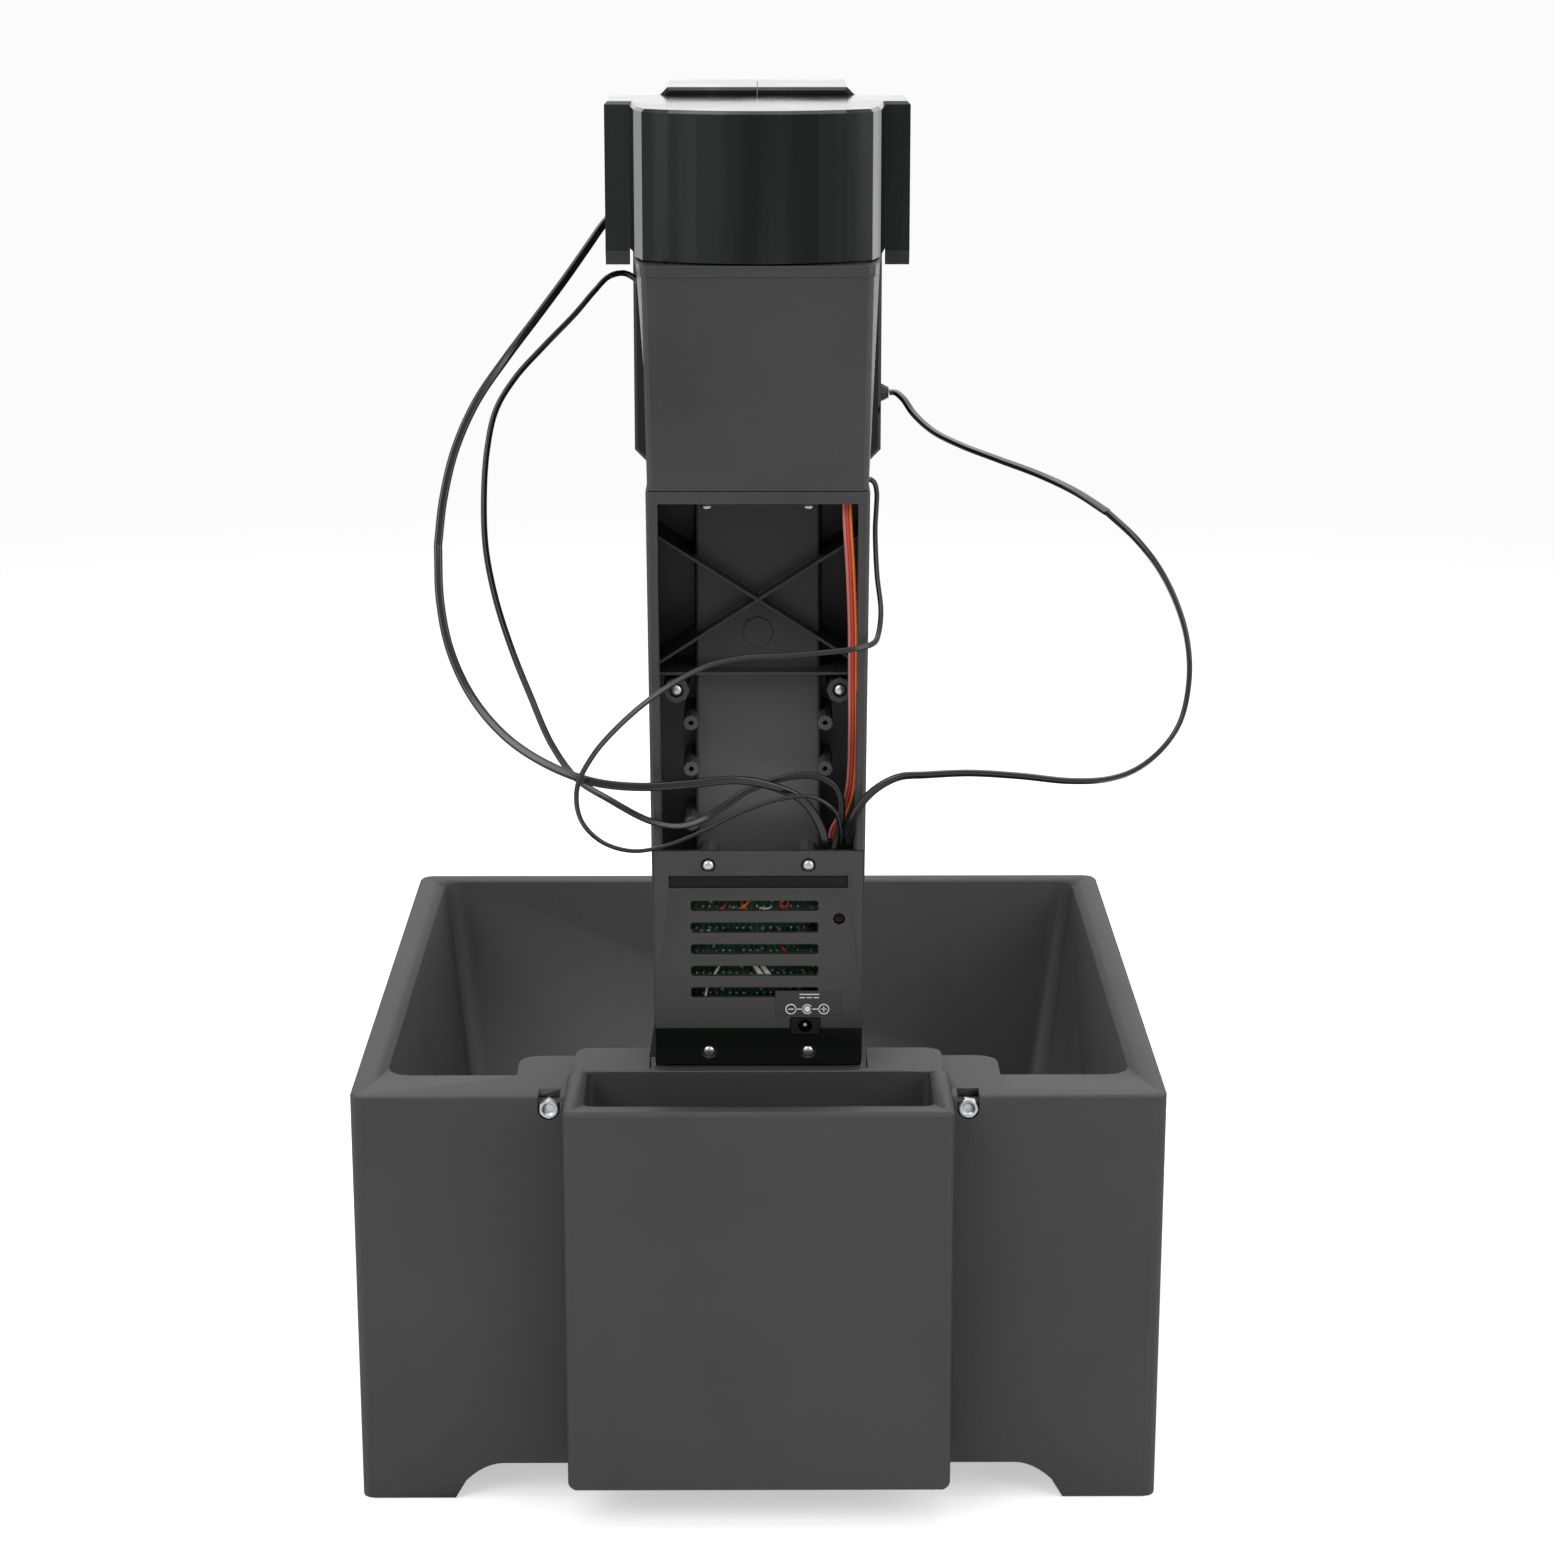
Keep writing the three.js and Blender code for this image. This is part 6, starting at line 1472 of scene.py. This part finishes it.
@dataclass
class VentFace:
    """What shows on and behind the vented plate: lamp, polarity sign, jack pin and the board's parts."""

    face_y: float = -0.1166
    proud: float = 0.00018
    sunk: float = 0.00005
    lamp: Point = (0.0307, -0.1152, 0.2273)
    lamp_radius: float = 0.0023
    lamp_deep: float = 0.0055
    lamp_foot: float = 0.0002
    lamp_dome: float = 0.0007
    sign: Point = (0.0187, -0.1166, 0.1914)
    sign_reach: float = 0.0063
    sign_ring: float = 0.0019
    sign_line: float = 0.0004
    sign_bar: float = 0.0011
    sign_dot: float = 0.0012
    sign_open_deg: float = 35.0
    ring_steps: int = 28
    current_rise: float = 0.0052
    current_left: float = -0.003
    current_right: float = 0.0046
    line_up: float = 0.0007
    dashes_down: float = 0.0006
    dash_step: float = 0.0027
    dash: float = 0.0021
    foil_low: tuple[float, float] = (0.0064, 0.1887)
    foil_high: tuple[float, float] = (0.0319, 0.1987)
    foil_thick: float = 0.00008
    foil_gap: float = 0.00001
    bar_half: float = 0.0338
    bar_low: float = 0.2393
    bar_high: float = 0.2442
    bar_floor: float = -0.1150
    bar_thick: float = 0.0004
    bar_sunk: float = 0.00002
    jack: Point = (0.01785, -0.1174, 0.1847)
    board_y: float = -0.1086
    board_sunk: float = 0.0001
    chip_rows: Sequence[float] = (0.2345, 0.2255, 0.2170, 0.2080, 0.1990)
    chip_columns: int = 6
    chip_start: float = -0.025
    chip_step: float = 0.0088
    chip_shift: float = 0.0019
    chip_sizes: Sequence[tuple[float, float]] = ((0.0018, 0.0013), (0.0010, 0.0010), (0.0008, 0.0006))
    chip_bevel: float = 0.00012
    joint_rows: Sequence[float] = (0.2385, 0.2300, 0.2215, 0.2125, 0.2035, 0.1955)
    joint_columns: int = 20
    joint_start: float = -0.0265
    joint_step: float = 0.0026
    lead_low: float = 0.0004
    lead_arch: float = 0.0022
    lead_shares: Sequence[float] = (0, 0.12, 0.3, 0.5, 0.7, 0.88, 1)
    lead_step: float = 0.0009
    leads: Sequence[tuple[str, Coat, Sequence[Run]]] = (
        ("leads_red", Coat.WIRE_RED, ((-15.6, 228.6, -12.4, 231.2, 0.9), (8.2, 232.8, 9.6, 228.4, 1.0),
                                      (9.8, 228.2, 11.8, 233.0, 0.9), (9.0, 214.6, 10.8, 212.0, 1.0))),
        ("leads_orange", Coat.WIRE_ORANGE, ((-7.8, 228.8, -3.4, 232.4, 1.3),
                                            (-6.6, 232.0, -4.6, 229.0, 1.0))),
        ("leads_white", Coat.WIRE_WHITE, ((0.6, 229.6, 4.8, 229.8, 0.9), (-18.0, 201.6, -14.8, 207.2, 1.0),
                                          (-2.0, 207.6, 2.6, 201.4, 1.9), (1.0, 207.6, 5.6, 201.4, 1.9),
                                          (-20.9, 192.6, -19.6, 198.6, 1.0))),
        ("leads_grey", Coat.SHEATH, ((11.0, 219.4, 21.0, 222.8, 1.0), (12.0, 218.6, 22.0, 221.6, 1.0))),
    )

    def build(self) -> list[Piece]:
        """Makes the pieces.

        Returns:
            The pieces.
        """
        return [self._lamp(), self._sign(), self._foil(), self._bar(), self._pin(), self._chips(),
                self._joints(), *(self._leads(*row) for row in self.leads)]

    def _foil(self) -> Piece:
        """Makes the thin foil that the sign is printed on, which covers the end of the lowest slot.

        Returns:
            The foil's piece.
        """
        shape = bmesh.new()
        (left, low), (right, high) = self.foil_low, self.foil_high
        add_box(shape, (left, self.face_y - self.foil_thick, low), (right, self.face_y - self.foil_gap, high))
        return close(shape, "sign_foil", Coat.FOIL, Body.BASE, None)

    def _bar(self) -> Piece:
        """Makes the dark inlay on the floor of the long recess.

        Returns:
            The inlay's piece.
        """
        shape = bmesh.new()
        add_box(shape, (-self.bar_half, self.bar_floor - self.bar_thick, self.bar_low),
                (self.bar_half, self.bar_floor + self.bar_sunk, self.bar_high))
        return close(shape, "recess_inlay", Coat.CHIP, Body.BASE, None)

    def _lamp(self) -> Piece:
        """Makes the dark dome of the signal lamp.

        Returns:
            The lamp's piece.
        """
        shape = bmesh.new()
        r, low = self.lamp_radius, -self.lamp_deep
        arc = [(r * math.cos(a), self.lamp_foot + self.lamp_dome * math.sin(a))
               for a in (0.0, 0.35, 0.7, 1.05, 1.35)]
        profile = [(0.0, low), (r, low), *arc, (0.0, self.lamp_foot + self.lamp_dome)]
        add_revolved(shape, profile, Vector(self.lamp), REARWARDS)
        return close(shape, "signal_lamp", Coat.LENS, Body.BASE)

    def _print(self, shape: Shape, left: float, right: float, low: float, high: float) -> None:
        """Adds one flat printed bar.

        Args:
            shape: The bmesh that it goes into.
            left: Its left edge.
            right: Its right edge.
            low: Its lower edge.
            high: Its upper edge.
        """
        add_box(shape, (left, self.face_y - self.proud, low), (right, self.face_y + self.sunk, high))

    def _line(self, shape: Shape, left: float, right: float, height: float) -> None:
        """Adds one level printed line, centred on a height."""
        half = self.sign_line / 2
        self._print(shape, left, right, height - half, height + half)

    def _sign(self) -> Piece:
        """Makes the generic sign for a centre-positive direct current socket.

        Returns:
            The sign's piece.
        """
        shape = bmesh.new()
        centre, bar = Vector(self.sign), self.sign_bar
        for side in (-1, 1):
            middle = centre + Vector((side * self.sign_reach, 0, 0))
            self._ring(shape, middle, self.sign_ring, 0.0, math.tau)
            self._line(shape, middle.x - bar, middle.x + bar, middle.z)
            ends = sorted((centre.x + side * self.sign_ring * 0.9, middle.x - side * self.sign_ring))
            self._line(shape, *ends, centre.z)
        plus, half = centre.x + self.sign_reach, self.sign_line / 2
        self._print(shape, plus - half, plus + half, centre.z - bar, centre.z + bar)
        gap = math.radians(self.sign_open_deg)
        self._ring(shape, centre, self.sign_ring * 0.95, gap, math.tau - gap)
        dot = self.sign_dot
        profile = [(0.0, -self.sunk), (dot, -self.sunk), (dot, self.proud), (0.0, self.proud)]
        add_revolved(shape, profile, centre, REARWARDS, 20)
        rise, left = centre.z + self.current_rise, centre.x + self.current_left
        self._line(shape, left, centre.x + self.current_right, rise + self.line_up)
        for index in range(3):
            start = left + index * self.dash_step
            self._line(shape, start, start + self.dash, rise - self.dashes_down)
        return close(shape, "polarity_sign", Coat.INK, Body.BASE, None)

    def _ring(self, shape: Shape, centre: Vector, radius: float, start: float, end: float) -> None:
        """Adds a flat ring or arc of a printed line.

        Args:
            shape: The bmesh that it goes into.
            centre: Its middle.
            radius: Its radius.
            start: The angle where it starts.
            end: The angle where it ends.
        """
        steps, half = self.ring_steps, self.sign_line / 2
        whole = end - start > math.tau - 0.01
        near, far = self.face_y - self.proud, self.face_y + self.sunk
        corners = [(radius - half, far), (radius + half, far), (radius + half, near), (radius - half, near)]
        rings = []
        for i in range(steps if whole else steps + 1):
            turn = start + (end - start) * i / steps
            out = Vector((math.cos(turn), 0, math.sin(turn)))
            rings.append([shape.verts.new(Vector((centre.x, y, centre.z)) + out * r) for r, y in corners])
        bridge(shape, rings, whole)

    def _pin(self) -> Piece:
        """Makes the bright pin inside the power jack.

        Returns:
            The pin's piece.
        """
        shape = bmesh.new()
        profile = [(0.0, -0.0088), (0.0010, -0.0088), (0.0010, -0.0022), (0.0007, -0.0018), (0.0, -0.0017)]
        add_revolved(shape, profile, Vector(self.jack), REARWARDS, 20)
        return close(shape, "jack_pin", Coat.BRIGHT, Body.BASE)

    def _chips(self) -> Piece:
        """Makes the chips and capacitors, in rows.

        Returns:
            Their piece.
        """
        shape = bmesh.new()
        y = self.board_y
        for row, height in enumerate(self.chip_rows):
            for column in range(self.chip_columns):
                shift = self.chip_shift * math.sin(5 * row + 3 * column)
                x = self.chip_start + column * self.chip_step + shift
                waves = (math.sin(7 * column + 2 * row), math.sin(column + 9 * row),
                         math.cos(4 * column + 3 * row))
                wide, deep, tall = (least + more * (0.5 + 0.5 * wave)
                                    for (least, more), wave in zip(self.chip_sizes, waves))
                add_box(shape, (x - wide, y - deep, height - tall),
                        (x + wide, y + self.board_sunk, height + tall))
        bmesh.ops.bevel(shape, geom=shape.edges[:], offset=self.chip_bevel, segments=1, affect="EDGES")
        return close(shape, "board_chips", Coat.CHIP, Body.BASE, None)

    def _joints(self) -> Piece:
        """Makes the rows of solder joints by Geometry Nodes.

        Returns:
            Their piece.
        """
        places = []
        for row, height in enumerate(self.joint_rows):
            for column in range(self.joint_columns):
                if (column * 7 + row * 5) % 4:
                    x = self.joint_start + column * self.joint_step
                    places.append((Vector((x, self.board_y + self.board_sunk, height)), (0, -1, 0)))
        dome = bmesh.new()
        profile = [(0.0, -0.0001), (0.0007, -0.0001), (0.00055, 0.0003), (0.0002, 0.0006), (0.0, 0.0007)]
        add_revolved(dome, profile, Vector(), UP, 10)
        prototype = close(dome, "joint", Coat.BRIGHT, None)
        return stand_on(point_host("board_joints", places), prototype, Body.BASE)

    def _leads(self, name: str, coat: Coat, runs: Sequence[Run]) -> Piece:
        """Makes a few leads that arch over the board, soldered at both ends.

        Args:
            name: The piece's name.
            coat: Their finish.
            runs: Each lead's two ends, as x and z, and its thickness, all in millimetres.

        Returns:
            Their piece.
        """
        shape = bmesh.new()
        for x0, z0, x1, z1, thick in runs:
            start, end = from_mm(((x0, 0, z0), (x1, 0, z1)))
            span = [start.lerp(end, t) + REARWARDS * (self.lead_low + self.lead_arch * math.sin(math.pi * t))
                    + Vector((0, self.board_y, 0)) for t in self.lead_shares]
            add_tube(shape, smooth_line(span, self.lead_step), round_section(thick / 2 * MM, 10),
                     Vector((0.3, 0, 1)))
        return close(shape, name, coat, Body.BASE, 60)


def report(kind: str, made: Iterable[Piece]) -> None:
    """Logs each piece that a builder made.

    Args:
        kind: The builder's name.
        made: Its pieces.
    """
    for piece in made:
        log.info("%s: %s, %d faces", kind, piece.name, len(piece.data.polygons))


def main() -> None:
    """Builds the scene in order."""
    logging.basicConfig(level=logging.INFO, format="%(message)s")
    studio = Studio()
    studio.set_camera()
    report("cable", Wiring().build())
    studio.light()
    report("shell", Shells().build())
    report("muzzle", Muzzle().build())
    report("screws", Screws().build())
    report("bolts", HexBolts().build())
    report("vent", VentFace().build())


if __name__ == "__main__":
    main()
